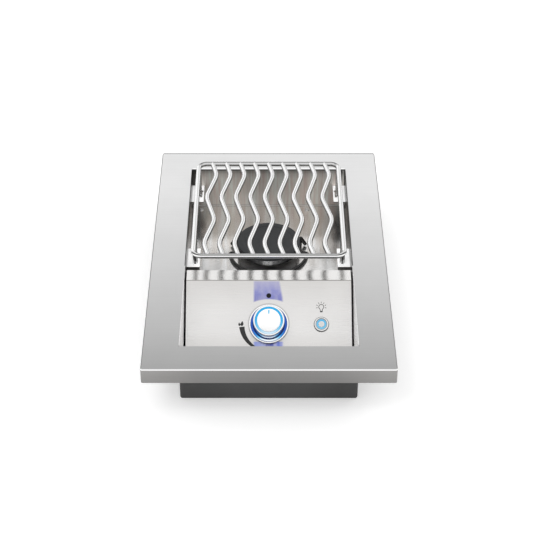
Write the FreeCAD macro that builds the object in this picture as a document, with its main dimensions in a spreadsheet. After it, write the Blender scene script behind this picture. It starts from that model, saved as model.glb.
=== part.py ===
import FreeCAD, Part

import math
import os
import re

import Sketcher
from FreeCAD import Placement, Rotation, Vector

# A gas side burner that drops into a counter cut-out.
# Frame: X to the right, Y to the back, Z up. The origin is under the middle of the box's bottom face.

SIZES = [
    ("surround_width", 355.6, "stainless surround, left to right"),
    ("surround_depth", 558.8, "stainless surround, front to back"),
    ("flange_width", 50.8, "surround on each side of the opening"),
    ("whole_height", 98, "bottom of the box to the top of the surround"),
    ("surround_sheet", 1.2, "sheet of the surround"),
    ("skirt_height", 24, "turned-down outer edge"),
    ("hem_width", 12, "edge turned in under the skirt"),
    ("skirt_corner", 3, "radius of the skirt's upright corners"),
    ("skirt_bend", 1.8, "radius of the bend from flange to skirt"),
    ("box_wall", 1.0, "sheet of the box"),
    ("box_corner", 3.5, "radius of the box's lower corners"),
    ("box_lip", 9, "lip of the box under the surround"),
    ("vent_length", 16, "height of a vent slot"),
    ("vent_width", 5, "width of a vent slot"),
    ("vent_pitch", 14, "from one vent slot to the next"),
    ("vent_count", 9, "vent slots in a row"),
    ("vent_start", 40, "first vent slot behind the middle of the box"),
    ("vent_bottom", 6, "lower end of the vent slots"),
    ("liner_sheet", 0.8, "sheet of the well and of the side liners"),
    ("liner_flange", 20, "flange of a liner under the well's floor"),
    ("well_floor", 28, "top of the well's floor"),
    ("well_front", -36.6, "front of the well"),
    ("well_back", 225.6, "back of the well"),
    ("neck_gap", 0.5, "gap round the burner's neck in the well's floor"),
    ("spark_across", 8, "igniter to the right of the burner's axis"),
    ("spark_behind", 55.5, "igniter behind the burner's axis"),
    ("spark_hole", 4.2, "hole for the igniter in the well's floor"),
    ("panel_sheet", 1.5, "sheet of the control panel"),
    ("panel_width", 247, "control panel, left to right"),
    ("panel_tilt", 40, "slope of the control panel, degrees"),
    ("panel_bend", 1.5, "inner radius of the panel's bends"),
    ("panel_lip", 12, "lip at the front of the ledge"),
    ("strip_height", 88, "top of the strip behind the panel"),
    ("strip_front", -61.9, "front edge of the strip"),
    ("ledge_height", 10, "ledge below the panel"),
    ("ledge_front", -227.1, "front edge of the ledge"),
    ("cheek_depth", 10, "edge flanges of the panel"),
    ("cheek_inset", 4, "edge flanges from the ends of the slope"),
    ("knob_down", 67.5, "knob axis below the panel's top edge, along the slope"),
    ("knob_hole", 6.5, "hole for the valve stem in the panel"),
    ("button_right", 78.3, "light button to the right of the knob"),
    ("button_hole", 9.6, "hole for the light button in the panel"),
    ("screw_down", 23.6, "panel screw below the panel's top edge, along the slope"),
    ("screw_radius", 1.95, "shank of the small screws"),
    ("screw_hole", 2.1, "hole for a small screw"),
    ("screw_head", 3.5, "head radius of a small screw"),
    ("screw_rise", 1.9, "head height of a small screw"),
    ("stay_width", 26, "stay behind the panel screw"),
    ("stay_top", 14, "upper end of the stay's tab, down the slope"),
    ("stay_end", 34, "lower end of the stay's tab, down the slope"),
    ("stay_foot", 58, "lower end of the stay on the well's front wall"),
    ("bracket_top", 68, "top of the grate shelves"),
    ("bracket_sheet", 1.5, "sheet of the grate shelves"),
    ("bracket_width", 19.7, "shelf from the wall to its inner edge"),
    ("bracket_length", 48, "shelf, front to back"),
    ("bracket_drop", 13, "wall flange of a shelf"),
    ("bracket_lip", 8, "turned-down front lip of a front shelf"),
    ("front_shelf", -1.4, "front end of the front shelves"),
    ("rear_shelf", 177.2, "front end of the rear shelves"),
    ("keyhole_width", 3.4, "slot in a rear shelf"),
    ("keyhole_length", 18, "slot in a rear shelf"),
    ("keyhole_across", 110.6, "slot from the middle of the burner"),
    ("keyhole_start", 12.8, "slot behind the front end of its shelf"),
    ("rivet_radius", 1.6, "shank of a rivet"),
    ("rivet_hole", 1.65, "hole for a rivet"),
    ("rivet_head", 2.8, "head radius of a rivet"),
    ("rivet_rise", 1.1, "head height of a rivet"),
    ("rivet_inset", 10, "rivet from the end of its shelf"),
    ("rivet_drop", 8, "rivet below the top of its shelf"),
    ("grate_height", 118, "centre of the grate's rods"),
    ("grate_front", -41.4, "centre of the front rail"),
    ("grate_back", 213.6, "centre of the back rail"),
    ("grate_half", 113.5, "centre of a side rail from the middle"),
    ("grate_corner", 13, "corner radius of the grate, at the rod's centre"),
    ("rod_radius", 3.95, "rod of the grate's frame"),
    ("bar_radius", 3.85, "rod of the wavy bars and legs"),
    ("bar_pitch", 22.8, "from one wavy bar to the next"),
    ("bar_count", 9, "wavy bars"),
    ("wave_reach", 6.2, "a bar's centre line to each side"),
    ("wave_bend", 50, "bend radius of a bar's centre line"),
    ("wave_first", 35.6, "back rail to the first crest"),
    ("wave_half", 62.4, "from one crest to the next"),
    ("wave_crests", 4, "crests of a bar"),
    ("leg_front", 9.6, "front legs of the grate"),
    ("leg_back", 196.5, "back legs of the grate"),
    ("weld_gap", 0.02, "gap between welded rods"),
    ("rest_gap", 0.1, "gap under what lifts off"),
    ("burner_centre", 88.6, "burner axis behind the middle"),
    ("cap_radius", 50.4, "burner cap"),
    ("cap_top", 54, "top of the burner cap"),
    ("cap_edge", 5, "thickness of the cap's edge"),
    ("head_radius", 49.8, "burner head"),
    ("head_bore", 44, "inside of the burner head"),
    ("head_bottom", 40, "lower edge of the burner head"),
    ("port_radius", 0.9, "flame port"),
    ("port_drop", 2.6, "flame ports below the head's top"),
    ("port_count", 40, "flame ports"),
    ("bowl_top", 41.5, "rim of the burner base"),
    ("neck_radius", 19, "neck of the burner base"),
    ("neck_bottom", 3, "lower end of the burner base"),
    ("ring_radius", 61.5, "wire ring round the burner, at its centre"),
    ("wire_radius", 2.6, "wire of the ring and the struts"),
    ("ring_sweep", 88, "the ring runs this far to each side of the front, degrees"),
    ("ring_inner", 27.6, "inner end of the ring's stubs from the burner's axis"),
    ("strut_turn", 110, "struts from the front, degrees"),
    ("strut_near", 53.8, "upright of a strut from the burner's axis"),
    ("strut_far", 63, "foot of a strut from the burner's axis"),
    ("strut_top", 46, "apex of a strut"),
    ("gas_height", 14, "axis of the venturi and the orifice"),
    ("venturi_mouth", -66, "front end of the venturi"),
    ("venturi_length", 142.6, "venturi from its mouth into the burner's neck"),
    ("venturi_radius", 11, "venturi at its mouth"),
    ("venturi_end", 9, "venturi at the burner"),
    ("throat_radius", 8.2, "venturi at its narrowest"),
    ("air_low", 8, "air windows behind the mouth"),
    ("air_high", 18, "air windows' back end"),
    ("air_half", 5, "air windows' half width"),
    ("shutter_bore", 11.06, "bore of the air shutter"),
    ("shutter_radius", 12, "outside of the air shutter"),
    ("spud_start", -76, "back end of the orifice spud"),
    ("spud_bore", 0.6, "gas orifice"),
    ("bonnet_face", 3, "valve's front face below the panel's surface"),
    ("bonnet_end", 18, "joint between bonnet and valve body, below the panel"),
    ("bonnet_radius", 10.5, "valve bonnet"),
    ("lug_reach", 21, "lugs of the bonnet from the stem"),
    ("lug_half", 9, "half height of the lugs"),
    ("mount_reach", 15, "valve screws from the stem"),
    ("valve_end", 36, "back end of the valve below the panel"),
    ("valve_radius", 12.5, "valve body"),
    ("plug_wide", 7.6, "plug at its front"),
    ("plug_narrow", 6.2, "plug at its back"),
    ("plug_top", 18.4, "plug's front face below the panel"),
    ("plug_end", 34, "plug's back face below the panel"),
    ("port_depth", 27, "inlet port below the panel"),
    ("inlet_boss", 24, "end of the inlet boss from the stem"),
    ("boss_radius", 8, "inlet boss"),
    ("stem_radius", 4, "valve stem"),
    ("stem_bore", 4.05, "bore for the stem"),
    ("stem_top", 21, "outer end of the stem above the panel"),
    ("collar_radius", 6.2, "collar of the stem"),
    ("chamber_radius", 6.8, "spring chamber of the bonnet"),
    ("inlet_across", -92, "gas inlet from the middle"),
    ("inlet_height", 13.5, "axis of the gas inlet"),
    ("inlet_hex", 12.2, "corner radius of the inlet fitting's hexagon"),
    ("inlet_shank", 9.2, "shank of the inlet fitting through the box"),
    ("inlet_radius", 7.94, "thread of the gas inlet, outside"),
    ("inlet_thread", 12, "length of the gas inlet's thread"),
    ("inlet_relief", 1.4, "groove between the inlet's shank and its thread"),
    ("locknut_length", 5, "locknut of the inlet fitting"),
    ("locknut_radius", 13.2, "corner radius of the locknut"),
    ("tube_radius", 4.76, "gas tube"),
    ("tube_bend", 20, "bend radius of the gas tube"),
    ("lead_radius", 1.8, "insulated leads"),
    ("lead_bend", 12, "bend radius of the leads"),
    ("knob_foot", 8, "lower edge of the knob above the panel"),
    ("knob_low_radius", 22.7, "knob at its foot"),
    ("knob_radius", 23.25, "knob at its widest"),
    ("knob_rim", 31.2, "highest ridge of the knob's rim above the panel"),
    ("knob_deck", 28.5, "seat of the knob's face above the panel"),
    ("knob_web", 25.5, "underside of the knob's top"),
    ("knob_socket", 22, "end of the stem's bore in the knob"),
    ("hub_radius", 7, "hub of the knob"),
    ("hub_low", 9, "lower end of the knob's hub above the panel"),
    ("glow_bore", 17.55, "lit ring of the knob, inside"),
    ("glow_radius", 20.6, "lit ring of the knob, outside"),
    ("face_radius", 17.45, "domed face of the knob"),
    ("face_top", 33.2, "highest point of the knob's face above the panel"),
    ("pointer_half", 0.9, "half width of the pointer bar"),
    ("pointer_near", 9.45, "inner end of the pointer bar from the knob's axis"),
    ("pointer_far", 15.55, "outer end of the pointer bar from the knob's axis"),
    ("pointer_low", 31.6, "underside of the pointer bar above the panel"),
    ("bezel_radius", 29.5, "bezel round the knob"),
    ("bezel_bore", 26.9, "bezel, inside"),
    ("bezel_rise", 6, "top of the bezel above the panel"),
    ("guide_radius", 26.7, "lit guide in the bezel, outside"),
    ("guide_bore", 23.9, "lit guide in the bezel, inside"),
    ("lamp_circle", 24, "lamps from the knob's axis"),
    ("lamp_count", 8, "lamps under the lit guide"),
    ("button_radius", 4.7, "light button"),
    ("button_bore", 4.76, "bore round the light button"),
    ("button_flange", 6, "flange of the light button"),
    ("lens_radius", 8.25, "lit ring of the light button"),
    ("housing_radius", 11.4, "rim of the light button's housing"),
    ("housing_neck", 9.4, "housing behind the panel"),
    ("housing_seat", 8.3, "seat of the lit ring in the housing"),
    ("housing_depth", 16, "back end of the housing below the panel"),
    ("module_low", -74.4, "front face of the spark module and the light driver"),
    ("module_high", -48.4, "back face of the spark module and the light driver"),
    ("module_top", 25, "top of the spark module and the light driver"),
    ("ear_reach", 8, "ears of the modules"),
    ("ear_sheet", 2, "thickness of the ears"),
    ("spark_left", 62, "left side of the spark module"),
    ("spark_right", 104, "right side of the spark module"),
    ("driver_left", -78, "left side of the light driver"),
    ("driver_right", -38, "right side of the light driver"),
]

DOC = FreeCAD.newDocument("SideBurner")
VALUES = {alias: float(value) for alias, value, _ in SIZES}
NODES = []

HALF_X = "(surround_width / 2 - flange_width)"
HALF_Y = "(surround_depth / 2 - flange_width)"
BOX_X = f"({HALF_X} + box_wall)"
BOX_Y = f"({HALF_Y} + box_wall)"
BOX_TOP = "(whole_height - surround_sheet)"
LINER_X = f"({HALF_X} - liner_sheet)"
FLOOR_UNDER = "(well_floor - liner_sheet)"
FLANGE_UNDER = "(well_floor - 2 * liner_sheet)"
PANEL_RUN = "((strip_height - ledge_height) / tan(panel_tilt))"
PANEL_INSET = "(panel_sheet * tan(panel_tilt / 2))"
HEAD_TOP = "(cap_top - cap_edge - rest_gap)"
RING_HEIGHT = "(well_floor + wire_radius)"
WELL_SCREWS = [("-112", "212.6"), ("64", "212.6"), ("-112", "-24"), ("112", "-24")]
BACK_SCREW = 1
SHELVES = [(end, side, sign) for end in ("front", "rear") for side, sign in (("left", -1), ("right", 1))]


def make_sheet():
    """Write every driving size into one spreadsheet, a cell with an alias each."""
    sheet = DOC.addObject("Spreadsheet::Sheet", "Sizes")
    for row, (alias, value, meaning) in enumerate(SIZES, start=1):
        sheet.set(f"A{row}", meaning)
        sheet.set(f"B{row}", str(value))
        sheet.setAlias(f"B{row}", alias)
    DOC.recompute()


def bind(item, prop, formula):
    """Bind a property to a formula of sheet aliases, which all hold an underscore."""
    item.setExpression(prop, re.sub(r"[a-z]+(_[a-z]+)+", lambda word: "Sizes." + word.group(), str(formula)))


def place(item, x=0, y=0, z=0, turn=None, axis=Vector(1, 0, 0)):
    """Bind an item's place, and its turn about one axis, to formulas."""
    if turn is not None:
        item.Placement = Placement(Vector(), Rotation(axis, 10))
        bind(item, "Placement.Rotation.Angle", turn)
    for name, formula in zip("xyz", (x, y, z)):
        bind(item, f"Placement.Base.{name}", formula)
    return item


def slope(down, height):
    """Give the (y, z) formulas of a point down the panel's slope and off its surface."""
    y = f"(strip_front - cos(panel_tilt) * ({down}) - sin(panel_tilt) * ({height}))"
    z = f"(strip_height - sin(panel_tilt) * ({down}) + cos(panel_tilt) * ({height}))"
    return y, z


def place_on_panel(item, x=0, down="knob_down", height=0):
    """Stand an item on the sloping panel, its own Z along the panel's normal."""
    return place(item, x, *slope(down, height), turn="panel_tilt")


def finish(item, label):
    """Name a finished piece and list it for the hand-over."""
    item.Label = label
    NODES.append(item)


def origin_plane(body, role):
    return [item for item in body.Origin.OriginFeatures if item.Role == role][0]


def new_sketch(body, plane, height=0):
    """Start a sketch on one of the body's own origin planes, moved along its normal."""
    sketch = body.newObject("Sketcher::SketchObject", body.Name + "Sketch")
    sketch.AttachmentSupport = (origin_plane(body, plane), [""])
    sketch.MapMode = "FlatFace"
    bind(sketch, "AttachmentOffset.Base.z", height)
    return sketch


def panel_sketch(body):
    """Start a sketch on the panel's slope, centred on the knob's axis."""
    sketch = new_sketch(body, "XY_Plane")
    sketch.AttachmentOffset = Placement(Vector(), Rotation(Vector(1, 0, 0), 10))
    y, z = slope("knob_down", 0)
    bind(sketch, "AttachmentOffset.Rotation.Angle", "panel_tilt")
    bind(sketch, "AttachmentOffset.Base.y", y)
    bind(sketch, "AttachmentOffset.Base.z", z)
    return sketch


def fix_point(sketch, shape, point, x, y):
    """Tie a point of the sketch to its distances from the origin."""
    for kind, formula in (("DistanceX", x), ("DistanceY", y)):
        index = sketch.addConstraint(Sketcher.Constraint(kind, -1, 1, shape, point, 1.0))
        bind(sketch, f"Constraints[{index}]", formula)


def draw_outline(sketch, corners):
    """Draw a closed outline of straight lines through corners given as formulas."""
    count = len(corners)
    first = sketch.GeometryCount
    angles = [2 * math.pi * index / count for index in range(count)]
    start = [Vector(50 * math.cos(angle), 50 * math.sin(angle), 0) for angle in angles]
    for index in range(count):
        sketch.addGeometry(Part.LineSegment(start[index], start[(index + 1) % count]))
    for index in range(count):
        following = first + (index + 1) % count
        sketch.addConstraint(Sketcher.Constraint("Coincident", first + index, 2, following, 1))
    for index, (x, y) in enumerate(corners):
        fix_point(sketch, first + index, 1, x, y)


def draw_box(sketch, x_low, x_high, y_low, y_high):
    draw_outline(sketch, [(x_low, y_low), (x_high, y_low), (x_high, y_high), (x_low, y_high)])


def draw_centred_box(sketch, half_x, half_y):
    draw_box(sketch, f"-({half_x})", half_x, f"-({half_y})", half_y)


def draw_circle(sketch, x, y, radius):
    shape = sketch.addGeometry(Part.Circle(Vector(1, 1, 0), Vector(0, 0, 1), 1))
    index = sketch.addConstraint(Sketcher.Constraint("Radius", shape, 1.0))
    bind(sketch, f"Constraints[{index}]", radius)
    fix_point(sketch, shape, 3, x, y)


def pad(body, sketch, length, both_ways=False, backwards=False):
    feature = body.newObject("PartDesign::Pad", body.Name + "Pad")
    feature.Profile = sketch
    feature.Midplane = both_ways
    feature.Reversed = backwards
    bind(feature, "Length", length)
    DOC.recompute()


def pocket(body, sketch, length=None, both_ways=False, backwards=False):
    """Cut a pocket, through everything where no length is given, and check that it cuts."""
    before = body.Shape.Volume
    feature = body.newObject("PartDesign::Pocket", body.Name + "Pocket")
    feature.Profile = sketch
    feature.Midplane = both_ways
    feature.Reversed = backwards
    if length is None:
        feature.Type = "ThroughAll"
    else:
        bind(feature, "Length", length)
    DOC.recompute()
    if body.Shape.Volume >= before:
        raise RuntimeError(f"{body.Name}: the pocket {feature.Name} cuts nothing")
    return feature


def round_edges(body, radius, chosen):
    """Round the edges of the body's last feature that the chosen test picks."""
    base = body.Tip
    names = [f"Edge{number}" for number, edge in enumerate(base.Shape.Edges, start=1) if chosen(edge)]
    if not names:
        raise RuntimeError(f"{body.Name}: no edge to round")
    feature = body.newObject("PartDesign::Fillet", body.Name + "Round")
    feature.Base = (base, names)
    bind(feature, "Radius", radius)
    DOC.recompute()


def runs_along(edge, axis):
    """Tell whether a straight edge runs along X (0), Y (1) or Z (2)."""
    bounds = edge.BoundBox
    lengths = [bounds.XLength, bounds.YLength, bounds.ZLength]
    return lengths.pop(axis) > 0.01 and max(lengths) < 0.01


def new_body(name):
    return DOC.addObject("PartDesign::Body", name)


def turned(name, outline):
    """Turn a closed outline of (radius, height) corners round the body's own Z axis."""
    body = new_body(name)
    sketch = new_sketch(body, "XZ_Plane")
    draw_outline(sketch, outline)
    feature = body.newObject("PartDesign::Revolution", name + "Turn")
    feature.Profile = sketch
    feature.ReferenceAxis = (sketch, ["V_Axis"])
    feature.Angle = 360
    DOC.recompute()
    return body


def profile(name, outline, length):
    """Draw an outline of (y, z) corners and extend it along X, the same to both sides."""
    body = new_body(name)
    sketch = new_sketch(body, "YZ_Plane")
    draw_outline(sketch, outline)
    pad(body, sketch, length, both_ways=True)
    return body


def block(name, x_range, y_range, z_range):
    """Make a block between two formulas on each axis."""
    item = DOC.addObject("Part::Box", name)
    for prop, (low, high) in zip(("Length", "Width", "Height"), (x_range, y_range, z_range)):
        bind(item, prop, f"({high}) - ({low})")
    return place(item, x_range[0], y_range[0], z_range[0])


TURNS = {"x": ("90", Vector(0, 1, 0)), "y": ("-90", Vector(1, 0, 0)), "z": ("0", Vector(0, 0, 1))}


def point_along(item, along, x, y, z):
    """Place an item so that its own Z runs along the burner's X, Y or Z."""
    turn, axis = TURNS[along]
    return place(item, x, y, z, turn, axis)


def cylinder(name, radius, length):
    item = DOC.addObject("Part::Cylinder", name)
    bind(item, "Radius", radius)
    bind(item, "Height", length)
    return item


def hexagon(name, radius, length):
    item = DOC.addObject("Part::Prism", name)
    item.Polygon = 6
    bind(item, "Circumradius", radius)
    bind(item, "Height", length)
    return item


def fuse(name, items):
    item = DOC.addObject("Part::MultiFuse", name)
    item.Shapes = items
    return item


def cut(name, base, tools):
    item = DOC.addObject("Part::Cut", name)
    item.Base = base
    item.Tool = fuse(name + "Tools", tools) if len(tools) > 1 else tools[0]
    return item


def shaped(name, shape):
    """Hold a shape made from the sheet's sizes with the shape functions."""
    item = DOC.addObject("Part::Feature", name)
    item.Shape = shape
    return item


def side_range(sign, low, high):
    """Give the X range between two distances from the middle, on the left or right side."""
    return (low, high) if sign > 0 else (f"-({high})", f"-({low})")


def copies(name, item, placements):
    """Keep copies of one fastener together, each a separate solid."""
    DOC.recompute()
    solids = []
    for placement in placements:
        solid = item.Shape.copy()
        solid.Placement = placement.multiply(solid.Placement)
        solids.append(solid)
    return shaped(name, Part.makeCompound(solids))


def rounded_path(points, radius):
    """Join points with straight runs and a tangent arc of one radius at each inner point."""
    edges = []
    start = points[0]
    for before, corner, after in zip(points, points[1:], points[2:]):
        back = (before - corner).normalize()
        ahead = (after - corner).normalize()
        half = back.getAngle(ahead) / 2
        reach = radius / math.tan(half)
        enter = corner + back * reach
        leave = corner + ahead * reach
        crown = corner + (back + ahead).normalize() * (radius / math.sin(half) - radius)
        edges.append(Part.LineSegment(start, enter).toShape())
        edges.append(Part.Arc(enter, crown, leave).toShape())
        start = leave
    edges.append(Part.LineSegment(start, points[-1]).toShape())
    return Part.Wire(edges)


def bent_rod(points, bend, radius):
    """Sweep a round section along a rounded path and check its volume."""
    path = rounded_path(points, bend)
    section = Part.Wire(Part.Circle(points[0], points[1] - points[0], radius).toShape())
    rod = path.makePipeShell([section], True, False)
    expected = math.pi * radius ** 2 * path.Length
    if not rod.isValid() or abs(rod.Volume / expected - 1) > 0.01:
        raise RuntimeError("a bent rod has the wrong volume")
    return rod


def bend_between(start, crown, end):
    """Give the arc that leaves start towards the crown point and arrives at end."""
    middle = (start + end) * 0.5
    half_chord = (end - start).Length / 2
    rise = (crown - middle).Length
    sagitta = half_chord * math.tan(math.atan2(rise, half_chord) / 2)
    return Part.Arc(start, middle + (crown - middle).normalize() * sagitta, end).toShape()


def coil(radius, wire, low, high, turns):
    """Wind a spring about Z between two heights, each quarter turn two arcs that meet without a kink."""
    rise = high - low - 2 * wire
    slant = rise / turns / (2 * math.pi * radius)
    length = math.sqrt(1 + slant ** 2)

    def on_helix(quarter):
        """Give the point and the direction after a number of quarter turns."""
        angle = quarter * math.pi / 2
        height = low + wire + rise * quarter / (4 * turns)
        point = Vector(radius * math.cos(angle), radius * math.sin(angle), height)
        return point, Vector(-math.sin(angle), math.cos(angle), slant) * (1 / length)

    edges = []
    for quarter in range(4 * turns):
        start, leave = on_helix(quarter)
        end, arrive = on_helix(quarter + 1)
        span = end - start
        along = span.dot(leave + arrive)
        apart = 2 * (1 - leave.dot(arrive))
        reach = (math.sqrt(along ** 2 + apart * span.dot(span)) - along) / apart
        joint = (start + leave * reach + end - arrive * reach) * 0.5
        edges.append(bend_between(start, start + leave * reach, joint))
        edges.append(bend_between(joint, end - arrive * reach, end))
    path = Part.Wire(edges)
    start, leave = on_helix(0)
    section = Part.Wire(Part.Circle(start, leave, wire).toShape())
    spring = path.makePipeShell([section], True, False)
    expected = math.pi * wire ** 2 * path.Length
    if not spring.isValid() or abs(spring.Volume / expected - 1) > 0.01:
        raise RuntimeError("a spring has the wrong volume")
    return spring


def panel_placement(x=0.0, down=None, height=0.0):
    """Give the placement of a frame that stands on the panel, by default at the knob's axis."""
    tilt = math.radians(VALUES["panel_tilt"])
    down = VALUES["knob_down"] if down is None else down
    y = VALUES["strip_front"] - math.cos(tilt) * down - math.sin(tilt) * height
    z = VALUES["strip_height"] - math.sin(tilt) * down + math.cos(tilt) * height
    return Placement(Vector(x, y, z), Rotation(Vector(1, 0, 0), VALUES["panel_tilt"]))


def make_surround():
    body = new_body("Surround")
    bottom = "whole_height - skirt_height"
    sketch = new_sketch(body, "XY_Plane", bottom)
    draw_centred_box(sketch, "surround_width / 2", "surround_depth / 2")
    pad(body, sketch, "skirt_height")
    round_edges(body, "skirt_corner", lambda edge: runs_along(edge, 2))
    top = VALUES["whole_height"]
    round_edges(body, "skirt_bend", lambda edge: edge.BoundBox.ZMin > top - 0.01)
    sketch = new_sketch(body, "XY_Plane", bottom)
    draw_centred_box(sketch, "surround_width / 2 - surround_sheet", "surround_depth / 2 - surround_sheet")
    pocket(body, sketch, "skirt_height - surround_sheet", backwards=True)
    sketch = new_sketch(body, "XY_Plane", "whole_height")
    draw_centred_box(sketch, HALF_X, HALF_Y)
    pocket(body, sketch, both_ways=True)
    sketch = new_sketch(body, "XY_Plane", bottom)
    draw_centred_box(sketch, "(surround_width - surround_sheet) / 2", "(surround_depth - surround_sheet) / 2")
    draw_centred_box(sketch, "surround_width / 2 - hem_width", "surround_depth / 2 - hem_width")
    pad(body, sketch, "surround_sheet")
    finish(body, "trim_surround")


def rivet_rows():
    """Give the Y formulas of the two rivets in each front and rear shelf."""
    return [place for shelf in ("front_shelf", "rear_shelf")
            for place in (f"{shelf} + rivet_inset", f"{shelf} + bracket_length - rivet_inset")]


def rivet_holes(name, x_start, length):
    holes = []
    for number, row in enumerate(rivet_rows()):
        hole = cylinder(f"{name}Rivet{number}", "rivet_hole", length)
        holes.append(point_along(hole, "x", x_start, row, "bracket_top - rivet_drop"))
    return holes


def module_screw_places():
    """Give the (x, y) formulas of the four screws that hold the two modules."""
    row = "(module_low + module_high) / 2"
    ends = ["spark_left - ear_reach / 2", "spark_right + ear_reach / 2",
            "driver_left - ear_reach / 2", "driver_right + ear_reach / 2"]
    return [(end, row) for end in ends]


def rounded_block(name, half_x, half_y, low, height, radius):
    """Make a centred block with its upright and lower edges rounded."""
    body = new_body(name)
    sketch = new_sketch(body, "XY_Plane", low)
    draw_centred_box(sketch, half_x, half_y)
    pad(body, sketch, height)
    bottom = body.Shape.BoundBox.ZMin
    round_edges(body, radius, lambda edge: edge.BoundBox.ZMax < bottom + 0.01 or runs_along(edge, 2))
    return body


def make_box():
    outside = rounded_block("BoxOutside", BOX_X, BOX_Y, "0", BOX_TOP, "box_corner")
    lip_x = (f"-{BOX_X} - box_lip", f"{BOX_X} + box_lip")
    lip_y = (f"-{BOX_Y} - box_lip", f"{BOX_Y} + box_lip")
    lip = block("BoxLip", lip_x, lip_y, (f"{BOX_TOP} - box_wall", BOX_TOP))
    inside = rounded_block("BoxInside", HALF_X, HALF_Y, "box_wall", "whole_height", "box_corner - box_wall")
    tools = [inside]
    for index in range(int(VALUES["vent_count"])):
        low = f"vent_start + {index} * vent_pitch"
        tools.append(block(f"Vent{index}", (f"-{BOX_X} - 1", f"{BOX_X} + 1"), (low, f"{low} + vent_width"),
                           ("vent_bottom", "vent_bottom + vent_length")))
    inlet = cylinder("BoxInlet", "inlet_shank + rest_gap", "10")
    tools.append(point_along(inlet, "y", "inlet_across", f"{BOX_Y} - 5", "inlet_height"))
    for index, (x, y) in enumerate(module_screw_places()):
        tools.append(place(cylinder(f"BoxScrew{index}", "screw_hole", "4"), x, y, "-1"))
    tools += rivet_holes("Box", f"-{BOX_X} - box_lip", f"2 * ({BOX_X} + box_lip)")
    finish(cut("Box", fuse("BoxWhole", [outside, lip]), tools), "burner_box")


def well_screw_holes(name, numbers):
    holes = []
    for number in numbers:
        hole = cylinder(f"{name}Screw{number}", "screw_hole", "8")
        holes.append(place(hole, *WELL_SCREWS[number], f"{FLOOR_UNDER} - 4"))
    return holes


def make_side_liners():
    for side, sign, screws in (("left", -1, (0, 2)), ("right", 1, (3,))):
        name = "Liner" + side.title()
        sheet = block(name + "Sheet", side_range(sign, LINER_X, HALF_X),
                      (f"-{HALF_Y} + box_corner", "well_back"), (FLANGE_UNDER, BOX_TOP))
        flange = block(name + "Flange", side_range(sign, f"{LINER_X} - liner_flange", LINER_X),
                       ("well_front", "well_back"), (FLANGE_UNDER, FLOOR_UNDER))
        start = f"{LINER_X} - 5" if sign > 0 else f"-{LINER_X} - 5"
        holes = rivet_holes(name, start, "10") + well_screw_holes(name, screws)
        finish(cut(name, fuse(name + "Whole", [sheet, flange]), holes), "well_wall_" + side)


def make_cross_liners():
    """Make the back and front walls of the well, each with a flange under the floor."""
    flange_x = (f"-{LINER_X} + liner_flange + 1", f"{LINER_X} - liner_flange - 1")
    wall_x = (f"-{LINER_X}", LINER_X)
    sheet = block("BackSheet", wall_x, ("well_back", "well_back + liner_sheet"), (FLANGE_UNDER, BOX_TOP))
    flange = block("BackFlange", flange_x, ("well_back - liner_flange", "well_back"),
                   (FLANGE_UNDER, FLOOR_UNDER))
    whole = fuse("BackWhole", [sheet, flange])
    finish(cut("BackWall", whole, well_screw_holes("Back", (BACK_SCREW,))), "well_back_wall")
    sheet = block("FrontSheet", wall_x, ("well_front - liner_sheet", "well_front"),
                  (FLANGE_UNDER, "strip_height - panel_sheet"))
    flange = block("FrontFlange", flange_x, ("well_front", "well_front + liner_flange / 2"),
                   (FLANGE_UNDER, FLOOR_UNDER))
    finish(fuse("FrontWall", [sheet, flange]), "well_front_wall")


def make_well_floor():
    floor = block("Floor", (f"-{LINER_X}", LINER_X), ("well_front", "well_back"), (FLOOR_UNDER, "well_floor"))
    holes = well_screw_holes("Floor", range(len(WELL_SCREWS)))
    neck = cylinder("FloorNeck", "neck_radius + neck_gap", "8")
    holes.append(place(neck, 0, "burner_centre", f"{FLOOR_UNDER} - 4"))
    spark = cylinder("FloorSpark", "spark_hole", "8")
    holes.append(place(spark, "spark_across", "burner_centre + spark_behind", f"{FLOOR_UNDER} - 4"))
    finish(cut("WellFloor", floor, holes), "well_floor")


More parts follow.
